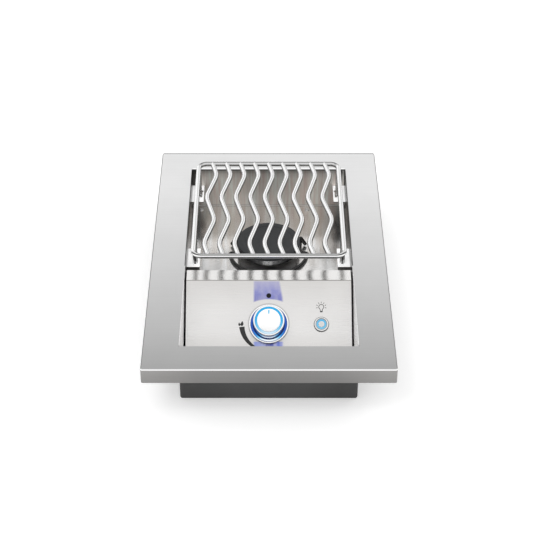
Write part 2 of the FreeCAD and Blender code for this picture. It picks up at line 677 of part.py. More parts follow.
def make_panel():
    """Make the panel: polished strip, slope, ledge and front lip of one sheet, with edge flanges."""
    slope_foot = f"strip_front - {PANEL_RUN}"
    outer = [("well_front", "strip_height"), ("strip_front", "strip_height"), (slope_foot, "ledge_height"),
             ("ledge_front", "ledge_height"), ("ledge_front", "ledge_height + panel_lip")]
    inner = [("ledge_front - panel_sheet", "ledge_height + panel_lip"),
             ("ledge_front - panel_sheet", "ledge_height - panel_sheet"),
             (f"{slope_foot} + {PANEL_INSET}", "ledge_height - panel_sheet"),
             (f"strip_front + {PANEL_INSET}", "strip_height - panel_sheet"),
             ("well_front", "strip_height - panel_sheet")]
    body = profile("Panel", outer + inner, "panel_width")
    strip = VALUES["strip_height"]
    ledge = VALUES["ledge_height"]
    front = VALUES["ledge_front"]
    back = VALUES["well_front"]
    thick = VALUES["panel_sheet"]

    def at_bend(edge, levels, reach):
        """Pick an edge along X at one of the levels, away from the sheet's two ends."""
        point = edge.BoundBox.Center
        level = any(abs(point.z - height) < 0.01 for height in levels)
        return runs_along(edge, 0) and level and front - reach < point.y < back - 0.01

    round_edges(body, "panel_bend + panel_sheet",
                lambda edge: at_bend(edge, (strip, ledge - thick), 2 * thick))
    round_edges(body, "panel_bend", lambda edge: at_bend(edge, (strip - thick, ledge), 0.01))
    cheek_end = f"{PANEL_RUN} / cos(panel_tilt) - cheek_inset"
    cheek_skin = "-panel_sheet / 2"
    cheek_edge = "-cheek_depth - panel_sheet / 2"
    cheek = [slope("cheek_inset", cheek_skin), slope(cheek_end, cheek_skin),
             slope(cheek_end, cheek_edge), slope("cheek_inset", cheek_edge)]
    for start in ("-panel_width / 2", "panel_width / 2 - panel_sheet"):
        sketch = new_sketch(body, "YZ_Plane", start)
        draw_outline(sketch, cheek)
        pad(body, sketch, "panel_sheet")
    sketch = panel_sketch(body)
    draw_circle(sketch, 0, 0, "knob_hole")
    draw_circle(sketch, "-mount_reach", 0, "screw_hole")
    draw_circle(sketch, "mount_reach", 0, "screw_hole")
    draw_circle(sketch, "button_right", 0, "button_hole")
    draw_circle(sketch, 0, "knob_down - screw_down", "screw_hole")
    pocket(body, sketch, both_ways=True)
    finish(body, "control_panel")


def make_stay():
    """Make the stay that the panel screw bites into, bent from the well's front wall."""
    wall = "(well_front - liner_sheet)"
    under = "-panel_sheet"
    below = "-panel_sheet - bracket_sheet"
    level = slope("stay_top", below)[1]
    outline = [slope("stay_end", under), slope("stay_end", below), slope("stay_top", below),
               (f"{wall} - bracket_sheet", level), (f"{wall} - bracket_sheet", "stay_foot"),
               (wall, "stay_foot"), (wall, f"{level} + bracket_sheet"), slope("stay_top", under)]
    body = profile("Stay", outline, "stay_width")
    sketch = panel_sketch(body)
    draw_circle(sketch, 0, "knob_down - screw_down", "screw_radius + weld_gap")
    pocket(body, sketch, both_ways=True)
    finish(body, "panel_stay")


def screw(name, shank, recess=True):
    """Make a pan-head screw with its head's underside at zero and its shank below."""
    body = turned(name, [
        (0, f"-({shank})"), ("screw_radius", f"-({shank})"), ("screw_radius", 0), ("screw_head", 0),
        ("screw_head", "screw_rise * 0.45"), ("screw_head * 0.86", "screw_rise * 0.85"),
        ("screw_head * 0.6", "screw_rise"), (0, "screw_rise")])
    if recess:
        sketch = new_sketch(body, "XY_Plane", "screw_rise")
        draw_centred_box(sketch, "screw_head * 0.55", "screw_head * 0.14")
        pocket(body, sketch, "screw_rise * 0.5")
        sketch = new_sketch(body, "XY_Plane", "screw_rise")
        draw_centred_box(sketch, "screw_head * 0.14", "screw_head * 0.55")
        pocket(body, sketch, "screw_rise * 0.5")
    return body


def make_screws():
    panel = place_on_panel(screw("PanelScrew", "7"), 0, "screw_down")
    finish(panel, "panel_screw")
    short = screw("ShortScrew", "5")
    floor = VALUES["well_floor"]
    places = [Placement(Vector(float(x), float(y), floor), Rotation()) for x, y in WELL_SCREWS]
    finish(copies("WellScrews", short, places), "well_screws")
    module = screw("ModuleScrew", "ear_sheet + box_wall * 0.8")
    row = (VALUES["module_low"] + VALUES["module_high"]) / 2
    out = VALUES["ear_reach"] / 2
    ends = [VALUES["spark_left"] - out, VALUES["spark_right"] + out,
            VALUES["driver_left"] - out, VALUES["driver_right"] + out]
    height = VALUES["box_wall"] + VALUES["ear_sheet"]
    finish(copies("ModuleScrews", module, [Placement(Vector(x, row, height), Rotation()) for x in ends]),
           "module_screws")
    valve = screw("ValveScrew", "bonnet_face + 5")
    bezel = panel_placement()
    reach = VALUES["mount_reach"]
    places = [bezel.multiply(Placement(Vector(x, 0, 1.0), Rotation())) for x in (-reach, reach)]
    finish(copies("ValveScrews", valve, places), "valve_screws")


def make_rivets():
    """Make the rivets of the grate shelves: domed heads inside the well and outside the box."""
    grip = "(bracket_sheet + liner_sheet + box_wall)"
    rivet = turned("Rivet", [
        (0, "-rivet_rise"), ("rivet_head * 0.7", "-rivet_rise * 0.75"), ("rivet_head", 0),
        ("rivet_radius", 0), ("rivet_radius", grip), ("rivet_head", grip),
        ("rivet_head * 0.7", f"{grip} + rivet_rise * 0.75"), (0, f"{grip} + rivet_rise")])
    half = VALUES["surround_width"] / 2 - VALUES["flange_width"] - VALUES["liner_sheet"]
    inset = VALUES["rivet_inset"]
    rows = [VALUES[shelf] + place for shelf in ("front_shelf", "rear_shelf")
            for place in (inset, VALUES["bracket_length"] - inset)]
    height = VALUES["bracket_top"] - VALUES["rivet_drop"]
    start = half - VALUES["bracket_sheet"]
    places = [Placement(Vector(sign * start, row, height), Rotation(Vector(0, 1, 0), sign * 90))
              for sign in (-1, 1) for row in rows]
    finish(copies("Rivets", rivet, places), "bracket_rivets")


def make_shelves():
    """Make the four shelves that carry the grate's legs."""
    for end, side, sign in SHELVES:
        name = f"Shelf{end.title()}{side.title()}"
        start = f"{end}_shelf"
        shelf_x = side_range(sign, f"{LINER_X} - bracket_width", LINER_X)
        shelf = block(name + "Top", shelf_x, (start, f"{start} + bracket_length"),
                      ("bracket_top - bracket_sheet", "bracket_top"))
        flange = block(name + "Flange", side_range(sign, f"{LINER_X} - bracket_sheet", LINER_X),
                       (start, f"{start} + bracket_length"), ("bracket_top - bracket_drop", "bracket_top"))
        sheets = [shelf, flange]
        tools = []
        for number, inset in enumerate(("rivet_inset", "bracket_length - rivet_inset")):
            hole = cylinder(f"{name}Rivet{number}", "rivet_hole", "8")
            low = side_range(sign, f"{LINER_X} - 4", f"{LINER_X} + 4")[0]
            tools.append(point_along(hole, "x", low, f"{start} + {inset}", "bracket_top - rivet_drop"))
        if end == "front":
            sheets.append(block(name + "Lip", shelf_x, (start, f"{start} + bracket_sheet"),
                                ("bracket_top - bracket_lip", "bracket_top")))
        else:
            slot_x = side_range(sign, "keyhole_across - keyhole_width / 2",
                                "keyhole_across + keyhole_width / 2")
            slot_y = (f"{start} + keyhole_start", f"{start} + keyhole_start + keyhole_length")
            tools.append(block(name + "Slot", slot_x, slot_y, ("bracket_top - 4", "bracket_top + 4")))
            eye = cylinder(name + "Eye", "keyhole_width * 0.9", "8")
            eye_y = f"{start} + keyhole_start + keyhole_length"
            tools.append(place(eye, f"{sign} * keyhole_across", eye_y, "bracket_top - 4"))
        finish(cut(name, fuse(name + "Whole", sheets), tools), f"grate_bracket_{end}_{side}")


def crest_corner():
    """Give the sideways reach of a bar's sharp corners, so that its bent crests reach wave_reach."""
    corner = VALUES["wave_reach"]
    for _ in range(20):
        lean = math.atan(2 * corner / VALUES["wave_half"])
        corner = VALUES["wave_reach"] + VALUES["wave_bend"] * (1 / math.cos(lean) - 1)
    return corner


def make_grate():
    half, corner, front, back = "grate_half", "grate_corner", "grate_front", "grate_back"
    pieces = []
    for index, y in enumerate((front, back)):
        rail = cylinder(f"CrossRail{index}", "rod_radius", f"2 * ({half} - {corner})")
        pieces.append(point_along(rail, "x", f"-({half} - {corner})", y, "grate_height"))
    for index, x in enumerate((f"-{half}", half)):
        rail = cylinder(f"SideRail{index}", "rod_radius", f"{back} - {front} - 2 * {corner}")
        pieces.append(point_along(rail, "y", x, f"{front} + {corner}", "grate_height"))
    right, left = f"{half} - {corner}", f"-({half} - {corner})"
    rear, near = f"{back} - {corner}", f"{front} + {corner}"
    bends = [(right, rear, "0"), (left, rear, "90"), (left, near, "180"), (right, near, "270")]
    for index, (x, y, turn) in enumerate(bends):
        bend = DOC.addObject("Part::Torus", f"RailBend{index}")
        bind(bend, "Radius1", corner)
        bind(bend, "Radius2", "rod_radius")
        bend.Angle3 = 90
        pieces.append(place(bend, x, y, "grate_height", turn, Vector(0, 0, 1)))
    finish(fuse("GrateFrame", pieces), "grate_frame")
    make_grate_bars()
    make_grate_legs()


def rail_cutter(start, end):
    """Make the space that a rail of the grate's frame takes, to cope the rods welded to it."""
    radius = VALUES["rod_radius"] + VALUES["weld_gap"]
    return Part.makeCylinder(radius, (end - start).Length, start, end - start)


def make_grate_bars():
    """Bend nine wavy bars and cope their ends to the front and back rails."""
    front, back, height = VALUES["grate_front"], VALUES["grate_back"], VALUES["grate_height"]
    reach = VALUES["grate_half"]
    rails = [rail_cutter(Vector(-reach, y, height), Vector(reach, y, height)) for y in (front, back)]
    count = int(VALUES["bar_count"])
    corner = crest_corner()
    bars = []
    for index in range(count):
        x = (index - (count - 1) / 2) * VALUES["bar_pitch"]
        points = [Vector(x, back, height)]
        for crest in range(int(VALUES["wave_crests"])):
            side = corner if crest % 2 == 0 else -corner
            points.append(Vector(x + side, back - VALUES["wave_first"] - crest * VALUES["wave_half"], height))
        points.append(Vector(x, front, height))
        bars.append(bent_rod(points, VALUES["wave_bend"], VALUES["bar_radius"]).cut(rails))
    finish(shaped("GrateBars", Part.makeCompound([bar.Solids[0] for bar in bars])), "grate_bars")


def make_grate_legs():
    """Stand a short rod under each side rail over each shelf, coped to the rail."""
    low = VALUES["bracket_top"] + VALUES["rest_gap"]
    height = VALUES["grate_height"]
    legs = []
    for x in (-VALUES["grate_half"], VALUES["grate_half"]):
        rail = rail_cutter(Vector(x, VALUES["grate_front"], height), Vector(x, VALUES["grate_back"], height))
        for y in (VALUES["leg_front"], VALUES["leg_back"]):
            legs.append(Part.makeCylinder(VALUES["bar_radius"], height - low, Vector(x, y, low)).cut(rail))
    finish(shaped("GrateLegs", Part.makeCompound([leg.Solids[0] for leg in legs])), "grate_legs")


def make_burner():
    under = "(cap_top - cap_edge)"
    cap = turned("BurnerCap", [
        (0, under), ("head_bore - 3", under), ("head_bore - 3", f"{under} - 3"),
        ("head_bore - 0.6", f"{under} - 3"), ("head_bore - 0.6", under), ("cap_radius - 0.8", under),
        ("cap_radius", f"{under} + 0.8"), ("cap_radius", "cap_top - 1.7"),
        ("cap_radius - 0.6", "cap_top - 0.9"), ("cap_radius - 1.8", "cap_top - 0.4"),
        ("cap_radius - 6", "cap_top - 0.15"), (0, "cap_top")])
    finish(place(cap, 0, "burner_centre", 0), "burner_cap")
    head = turned("BurnerHead", [
        ("head_bore", "bowl_top"), ("head_bore + 2.2", "bowl_top"), ("head_bore + 2.2", "head_bottom"),
        ("head_radius - 0.9", "head_bottom"), ("head_radius", "head_bottom + 0.9"), ("head_radius", HEAD_TOP),
        ("head_bore", HEAD_TOP)])
    sketch = new_sketch(head, "YZ_Plane")
    draw_circle(sketch, 0, f"{HEAD_TOP} - port_drop", "port_radius")
    hole = pocket(head, sketch, backwards=True)
    ring = head.newObject("PartDesign::PolarPattern", "Ports")
    ring.Originals = [hole]
    ring.Axis = (sketch, ["V_Axis"])
    ring.Angle = 360
    ring.Occurrences = int(VALUES["port_count"])
    head.Tip = ring
    finish(place(head, 0, "burner_centre", 0), "burner_head")
    base = turned("BurnerBase", [
        (0, "neck_bottom"), ("neck_radius", "neck_bottom"), ("neck_radius", "well_floor"),
        ("neck_radius + 8", "well_floor"), ("neck_radius + 8", "well_floor + 2.5"),
        ("neck_radius + 3.5", "well_floor + 5"), ("head_bore + 2", "bowl_top - 2.3"),
        ("head_bore + 2", "bowl_top"), ("head_bore - 0.4", "bowl_top"),
        ("neck_radius + 2", "well_floor + 7.5"), ("neck_radius - 2.5", "well_floor + 4"),
        ("neck_radius - 2.5", "neck_bottom + 2.5"), (0, "neck_bottom + 2.5")])
    place(base, 0, "burner_centre", 0)
    inlet = cylinder("BaseInlet", "venturi_end + 0.05", "neck_radius")
    point_along(inlet, "y", 0, "burner_centre - neck_radius - 6", "gas_height")
    finish(cut("BurnerBaseDrilled", base, [inlet]), "burner_base")


def make_burner_wires():
    """Make the wire ring in front of the burner and the two struts beside it."""
    ring = DOC.addObject("Part::Torus", "RingArc")
    bind(ring, "Radius1", "ring_radius")
    bind(ring, "Radius2", "wire_radius")
    bind(ring, "Angle3", "2 * ring_sweep")
    place(ring, 0, "burner_centre", RING_HEIGHT, "270 - ring_sweep", Vector(0, 0, 1))
    pieces = [ring]
    for index, sign in enumerate((-1, 1)):
        x = f"{sign} * ring_radius * sin(ring_sweep)"
        y = "burner_centre - ring_radius * cos(ring_sweep)"
        ball = DOC.addObject("Part::Sphere", f"RingElbow{index}")
        bind(ball, "Radius", "wire_radius")
        pieces.append(place(ball, x, y, RING_HEIGHT))
        stub = cylinder(f"RingStub{index}", "wire_radius", "ring_radius * sin(ring_sweep) - ring_inner")
        start = x if sign < 0 else "ring_inner"
        pieces.append(point_along(stub, "x", start, y, RING_HEIGHT))
    finish(fuse("BurnerRing", pieces), "burner_ring")
    wire = VALUES["wire_radius"] * 0.9
    floor = VALUES["well_floor"]
    struts = []
    for sign in (-1, 1):
        turn = math.radians(VALUES["strut_turn"])
        outward = Vector(sign * math.sin(turn), -math.cos(turn), 0)
        centre = Vector(0, VALUES["burner_centre"], 0)
        apex = centre + outward * VALUES["strut_near"] + Vector(0, 0, VALUES["strut_top"])
        foot = centre + outward * VALUES["strut_far"] + Vector(0, 0, floor + wire)
        upright = Part.makeCylinder(wire, apex.z - floor, Vector(apex.x, apex.y, floor))
        leaning = Part.makeCylinder(wire, (foot - apex).Length, apex, foot - apex)
        struts.append(upright.fuse([leaning, Part.makeSphere(wire, apex), Part.makeSphere(wire, foot)]))
    finish(shaped("BurnerStruts", Part.makeCompound([strut.Solids[0] for strut in struts])), "burner_struts")


def make_gas_mixing():
    venturi = turned("Venturi", [
        ("venturi_radius - 1", 0), ("venturi_radius", 0), ("venturi_radius", 24), ("throat_radius", 40),
        ("venturi_end", 80), ("venturi_end", "venturi_length"), ("venturi_end - 1", "venturi_length"),
        ("venturi_end - 1", 80), ("throat_radius - 1", 40), ("venturi_radius - 1", 24)])
    sketch = new_sketch(venturi, "YZ_Plane")
    draw_box(sketch, "-air_half", "air_half", "air_low", "air_high")
    pocket(venturi, sketch, both_ways=True)
    point_along(venturi, "y", 0, "venturi_mouth", "gas_height")
    finish(venturi, "venturi_tube")
    shutter = turned("AirShutter", [
        ("shutter_bore", "air_low - 5"), ("shutter_radius", "air_low - 5"),
        ("shutter_radius", "air_high + 4"), ("shutter_bore", "air_high + 4")])
    sketch = new_sketch(shutter, "YZ_Plane")
    draw_box(sketch, "-air_half", "air_half", "air_low", "air_high")
    pocket(shutter, sketch, both_ways=True)
    tab = block("ShutterTab", ("-1.5", "1.5"), ("-shutter_radius - 5", "-shutter_radius + 0.4"),
                ("air_high", "air_high + 4"))
    whole = fuse("ShutterWhole", [shutter, tab])
    finish(point_along(whole, "y", 0, "venturi_mouth", "gas_height"), "air_shutter")
    nut = point_along(hexagon("SpudNut", "6.8", "5"), "y", 0, "spud_start", "gas_height")
    nose = DOC.addObject("Part::Cone", "SpudNose")
    nose.Radius1 = 4.6
    nose.Radius2 = 2.4
    nose.Height = 8
    point_along(nose, "y", 0, "spud_start + 5", "gas_height")
    orifice = point_along(cylinder("SpudOrifice", "spud_bore", "16"), "y", 0, "spud_start - 1", "gas_height")
    supply = point_along(cylinder("SpudSupply", "2", "10"), "y", 0, "spud_start - 1", "gas_height")
    finish(cut("OrificeSpud", fuse("SpudWhole", [nut, nose]), [orifice, supply]), "orifice_spud")


def make_valve():
    bonnet = turned("Bonnet", [
        ("stem_bore", "-bonnet_face"), ("bonnet_radius", "-bonnet_face"), ("bonnet_radius", "-bonnet_end"),
        ("chamber_radius", "-bonnet_end"), ("chamber_radius", "-bonnet_face - 5"),
        ("stem_bore", "-bonnet_face - 5")])
    lugs = block("BonnetLugs", ("-lug_reach", "lug_reach"), ("-lug_half", "lug_half"),
                 ("-bonnet_face - 4", "-bonnet_face"))
    tools = [place(cylinder("BonnetBore", "chamber_radius - 0.5", "6"), 0, 0, "-bonnet_face - 5")]
    for side, x in enumerate(("-mount_reach", "mount_reach")):
        hole = cylinder(f"BonnetHole{side}", "screw_radius + weld_gap", "8")
        tools.append(place(hole, x, 0, "-bonnet_face - 6"))
    finish(place_on_panel(fuse("ValveBonnet", [bonnet, cut("LugsDrilled", lugs, tools)])), "valve_bonnet")
    shell = cylinder("ValveShell", "valve_radius", "valve_end - bonnet_end")
    place_on_panel(shell, 0, "knob_down", "-valve_end")
    port = slope("knob_down", "-port_depth")
    boss = point_along(cylinder("InletBoss", "boss_radius", "inlet_boss - 8"), "x", "-inlet_boss", *port)
    outlet = point_along(cylinder("OutletBoss", "5.5", "18"), "y", 0, "spud_start - 18", "gas_height")
    inlet_bore = cylinder("InletBore", "3.4", "inlet_boss - 4")
    point_along(inlet_bore, "x", "-inlet_boss - 1", *port)
    outlet_bore = point_along(cylinder("OutletBore", "2", "21"), "y", 0, "spud_start - 20", "gas_height")
    seat = DOC.addObject("Part::Cone", "PlugSeat")
    bind(seat, "Radius1", "plug_narrow + 0.05")
    bind(seat, "Radius2", "plug_wide + 0.09")
    bind(seat, "Height", "plug_end - bonnet_end + 0.1")
    place_on_panel(seat, 0, "knob_down", "-plug_end - 0.1")
    whole = fuse("ValveWhole", [shell, boss, outlet])
    finish(cut("ValveBody", whole, [seat, inlet_bore, outlet_bore]), "valve_body")
    make_valve_moving_parts()
    plate = DOC.addObject("Part::Box", "BracketPlate")
    bind(plate, "Length", "2 * lug_reach + 6")
    bind(plate, "Width", "2 * lug_half + 10")
    bind(plate, "Height", "bonnet_face - panel_sheet")
    place(plate, "-lug_reach - 3", "-lug_half - 5", "-bonnet_face")
    holes = [place(cylinder(f"BracketHole{side}", "screw_hole", "6"), x, 0, "-bonnet_face - 2")
             for side, x in enumerate(("-mount_reach", "mount_reach"))]
    holes.append(place(cylinder("BracketBore", "knob_hole", "6"), 0, 0, "-bonnet_face - 2"))
    finish(place_on_panel(cut("ValveBracket", plate, holes)), "valve_bracket")


def make_valve_moving_parts():
    plug = DOC.addObject("Part::Cone", "PlugCone")
    bind(plug, "Radius1", "plug_narrow")
    bind(plug, "Radius2", "plug_wide")
    bind(plug, "Height", "plug_end - plug_top")
    place(plug, 0, 0, "-plug_end")
    socket = block("PlugSocket", ("-2.25", "2.25"), ("-2.25", "2.25"), ("-plug_top - 7", "-plug_top + 1"))
    cross = point_along(cylinder("PlugCross", "1.8", "20"), "y", 0, "-10", "-plug_end + 5")
    along = place(cylinder("PlugAlong", "1.8", "6"), 0, 0, "-plug_end - 1")
    finish(place_on_panel(cut("ValvePlug", plug, [socket, cross, along])), "valve_plug")
    collar_top = "(-bonnet_face - 5.3)"
    shaft = place(cylinder("StemShaft", "stem_radius", f"stem_top - {collar_top}"), 0, 0, collar_top)
    collar = place(cylinder("StemCollar", "collar_radius", "1.8"), 0, 0, f"{collar_top} - 1.8")
    tail = block("StemTail", ("-2.05", "2.05"), ("-2.05", "2.05"), ("-plug_top - 2.6", f"{collar_top} - 1.8"))
    flat = block("StemFlat", ("-6", "6"), ("3", "6"), ("8", "stem_top + 1"))
    stem = cut("StemWhole", fuse("StemSolid", [shaft, collar, tail]), [flat])
    finish(place_on_panel(stem), "valve_stem")
    face = VALUES["bonnet_face"]
    spring = coil(5.2, 0.45, -VALUES["plug_top"] + 0.1, -face - 7.2, 4)
    spring.Placement = panel_placement().multiply(spring.Placement)
    finish(shaped("StemSpring", spring), "stem_spring")


def make_gas_supply():
    port = panel_placement(height=-VALUES["port_depth"]).Base
    across, height = VALUES["inlet_across"], VALUES["inlet_height"]
    back = VALUES["surround_depth"] / 2 - VALUES["flange_width"]
    boss = VALUES["inlet_boss"]
    points = [Vector(-boss - 1, port.y, port.z), Vector(across, port.y, port.z),
              Vector(across, port.y + 48, height), Vector(across, back - 12.5, height)]
    finish(shaped("InletTube", bent_rod(points, VALUES["tube_bend"], VALUES["tube_radius"])), "inlet_tube")
    port = slope("knob_down", "-port_depth")
    nut = point_along(hexagon("FlareNut", "9", "13"), "x", "-inlet_boss - 13", *port)
    bore = cylinder("FlareNutBore", "tube_radius + 0.05", "15")
    point_along(bore, "x", "-inlet_boss - 14", *port)
    finish(cut("InletFlareNut", nut, [bore]), "inlet_flare_nut")
    make_inlet_fitting()


def make_inlet_fitting():
    """Make the gas inlet: hexagon inside, shank and locknut through the box, relief, thread and nose."""

    def along_inlet(item, start):
        """Place an item on the inlet's axis, its own Z to the back."""
        return point_along(item, "y", "inlet_across", start, "inlet_height")

    hexagon_start = f"{HALF_Y} - 14.6"
    shank_start = f"{HALF_Y} - 6"
    shank_end = f"({BOX_Y} + locknut_length + 0.6)"
    thread_start = f"({shank_end} + inlet_relief)"
    fitting = fuse("FittingWhole", [
        along_inlet(hexagon("FittingHex", "inlet_hex", "8.6"), hexagon_start),
        along_inlet(cylinder("FittingShank", "inlet_shank", f"{shank_end} - ({shank_start})"), shank_start),
        along_inlet(cylinder("FittingRelief", "inlet_radius - 1", "inlet_relief + 1"), f"{shank_end} - 0.5"),
        along_inlet(cylinder("FittingThread", "inlet_radius", "inlet_thread"), thread_start),
        along_inlet(cylinder("FittingNose", "inlet_radius - 1.8", "3.4"),
                    f"{thread_start} + inlet_thread - 1")])
    bores = [along_inlet(cylinder("FittingSocket", "tube_radius + 0.05", "4"), f"{HALF_Y} - 16"),
             along_inlet(cylinder("FittingBore", "3.4", "60"), f"{HALF_Y} - 16")]
    finish(cut("InletFitting", fitting, bores), "inlet_fitting")
    locknut = along_inlet(hexagon("Locknut", "locknut_radius", "locknut_length"), BOX_Y)
    bore = along_inlet(cylinder("LocknutBore", "inlet_shank + 0.02", "locknut_length + 2"), f"{BOX_Y} - 1")
    finish(cut("InletLocknut", locknut, [bore]), "inlet_locknut")


def make_knob():
    """Make the knob, its lit ring, face, pointer and hub clip, on the valve's stem."""
    shell = turned("KnobShell", [
        ("glow_radius - 0.2", "knob_foot"), ("knob_low_radius - 0.3", "knob_foot"),
        ("knob_low_radius", "knob_foot + 1"), ("knob_radius", "knob_rim - 4.2"),
        ("knob_radius - 0.15", "knob_rim - 1.6"), ("knob_radius - 0.95", "knob_rim - 0.4"),
        ("knob_radius - 1.95", "knob_rim"), ("glow_radius + 0.1", "knob_rim - 0.6"),
        ("glow_radius + 0.1", "knob_deck"), (0, "knob_deck"), (0, "knob_socket"),
        ("stem_bore", "knob_socket"), ("stem_bore", "hub_low"), ("hub_radius", "hub_low"),
        ("hub_radius", "knob_web"), ("glow_radius - 0.2", "knob_web")])
    key = block("KnobKey", ("-3.2", "3.2"), ("3.1", "5"), ("10", "21.5"))
    finish(place_on_panel(fuse("KnobBody", [shell, key])), "knob_body")
    ring = turned("KnobLightRing", [
        ("glow_bore", "knob_deck"), ("glow_radius", "knob_deck"), ("glow_radius", "knob_deck + 2.4"),
        ("glow_radius - 0.7", "knob_deck + 3.1"), ("glow_bore + 0.65", "knob_deck + 3.4"),
        ("glow_bore", "knob_deck + 3.1")])
    finish(place_on_panel(ring), "knob_light_ring")
    dome = turned("KnobDome", [
        (0, "knob_deck"), ("face_radius", "knob_deck"), ("face_radius", "face_top - 1.8"),
        ("face_radius - 0.85", "face_top - 1"), ("face_radius - 5.45", "face_top - 0.4"),
        ("face_radius - 11.45", "face_top - 0.1"), (0, "face_top")])
    notch = block("KnobNotch", ("-pointer_half - 0.05", "pointer_half + 0.05"),
                  ("pointer_near - 0.05", "pointer_far + 0.05"), ("pointer_low", "face_top + 2"))
    finish(place_on_panel(cut("KnobFace", dome, [notch])), "knob_face")
    pointer = block("KnobPointer", ("-pointer_half", "pointer_half"), ("pointer_near", "pointer_far"),
                    ("pointer_low", "face_top - 0.1"))
    place_on_panel(pointer, "-pointer_half", "knob_down - pointer_near", "pointer_low")
    finish(pointer, "knob_pointer")
    sleeve = place(cylinder("ClipSleeve", "hub_radius + 0.7", "4"), 0, 0, 13)
    bore = place(cylinder("ClipBore", "hub_radius + 0.05", "6"), 0, 0, 12)
    gap = block("ClipGap", ("-1.5", "1.5"), ("-hub_radius - 2", "0"), ("12", "18"))
    finish(place_on_panel(cut("KnobClip", sleeve, [bore, gap])), "knob_clip")


def make_bezel():
    """Make the chrome ring round the knob, the ring of lamps and the lit guide inside it."""
    rim = turned("BezelRim", [
        (8, 0), ("bezel_radius", 0), ("bezel_radius", "bezel_rise - 1.4"),
        ("bezel_radius - 0.6", "bezel_rise - 0.4"), ("bezel_radius - 1.3", "bezel_rise"),
        ("bezel_bore + 0.5", "bezel_rise - 0.3"), ("bezel_bore", "bezel_rise - 1"),
        ("bezel_bore", 1), (8, 1)])
    holes = [place(cylinder(f"BezelHole{side}", "screw_hole", "4"), x, 0, "-1")
             for side, x in enumerate(("-mount_reach", "mount_reach"))]
    finish(place_on_panel(cut("BezelRing", rim, holes)), "bezel_ring")
    guide = turned("BezelGuide", [
        ("guide_radius - 0.7", "bezel_rise - 3.8"), ("guide_radius", "bezel_rise - 3.8"),
        ("guide_radius", "bezel_rise - 1.4"), ("guide_radius - 1.3", "bezel_rise - 0.7"),
        ("guide_bore", "bezel_rise - 1.1"), ("guide_bore", "bezel_rise - 2.6"),
        ("guide_radius - 0.7", "bezel_rise - 2.6")])
    finish(place_on_panel(guide), "bezel_light_guide")
    board = turned("LampBoard", [
        ("lamp_circle - 3", 1), ("lamp_circle + 2.4", 1),
        ("lamp_circle + 2.4", 2.2), ("lamp_circle - 3", 2.2)])
    count = int(VALUES["lamp_count"])
    lamps = []
    for index in range(count):
        turn = f"{index + 0.5} * 360 / lamp_count"
        lamp = cylinder(f"Lamp{index}", "1.4", "1.1")
        lamps.append(place(lamp, f"lamp_circle * cos({turn})", f"lamp_circle * sin({turn})", "2.1"))
    finish(place_on_panel(fuse("LedBoard", [board] + lamps)), "bezel_led_board")


def make_light_button():
    """Make the light button: housing, lit ring, cap, spring, nut and switch behind the panel."""
    housing = turned("ButtonHousing", [
        ("housing_radius", 0), ("housing_radius", 1.8), ("housing_radius - 0.6", 2.8),
        ("housing_seat + 0.9", 3), ("housing_seat", 2.4), ("housing_seat", -3), (6.4, -3),
        (6.4, "2 - housing_depth"), (0, "2 - housing_depth"), (0, "-housing_depth"),
        ("housing_neck", "-housing_depth"), ("housing_neck", 0)])
    finish(place_on_panel(housing, "button_right"), "light_button_housing")
    lens = turned("ButtonLens", [
        ("button_bore", -3), ("lens_radius", -3), ("lens_radius", 2.1), ("lens_radius - 0.65", 2.7),
        ("button_bore + 0.64", 2.7), ("button_bore", 2.3)])
    finish(place_on_panel(lens, "button_right"), "light_button_lens")
    cap = turned("ButtonCap", [
        (0, -6), ("button_flange", -6), ("button_flange", -3.3), ("button_radius", -3.3),
        ("button_radius", 2.6), ("button_radius - 0.5", 3.1), (0, 3.3)])
    finish(place_on_panel(cap, "button_right"), "light_button_cap")
    spring = coil(4.4, 0.4, 0.1 + 2 - VALUES["housing_depth"], -6.1, 4)
    spring.Placement = panel_placement(VALUES["button_right"]).multiply(spring.Placement)
    finish(shaped("ButtonSpring", spring), "light_button_spring")
    nut = place(hexagon("ButtonNut", "13", "4.4"), 0, 0, "-panel_sheet - 4.4")
    bore = place(cylinder("ButtonNutBore", "housing_neck + 0.05", "8"), 0, 0, "-panel_sheet - 6")
    finish(place_on_panel(cut("ButtonNutCut", nut, [bore]), "button_right"), "light_button_nut")
    switch = place(cylinder("SwitchCase", "8.4", "9"), 0, 0, "-housing_depth - 9")
    terminals = [block(f"SwitchTerminal{index}", (x, f"{x} + 1"), ("-1.6", "1.6"),
                       ("-housing_depth - 13", "-housing_depth - 8"))
                 for index, x in enumerate(("-4.5", "3.5"))]
    finish(place_on_panel(fuse("LightSwitch", [switch] + terminals), "button_right"), "light_switch")


def make_module(name, label, left, right):
    """Make a closed electric box with an ear at each end, screwed to the box's floor."""
    floor = "box_wall"
    case = block(name + "Case", (left, right), ("module_low", "module_high"), (floor, "module_top"))
    lid = block(name + "Lid", (f"{left} - 0.8", f"{right} + 0.8"), ("module_low - 0.8", "module_high + 0.8"),
                ("module_top - 7", "module_top - 5"))
    row = "(module_low + module_high) / 2"
    ears = block(name + "Ears", (f"{left} - ear_reach", f"{right} + ear_reach"), (f"{row} - 5", f"{row} + 5"),
                 (floor, f"{floor} + ear_sheet"))
    holes = [place(cylinder(f"{name}Hole{side}", "screw_hole", "6"), x, row, "-1")
             for side, x in enumerate((f"{left} - ear_reach / 2", f"{right} + ear_reach / 2"))]
    finish(cut(name, fuse(name + "Whole", [case, lid, ears]), holes), label)


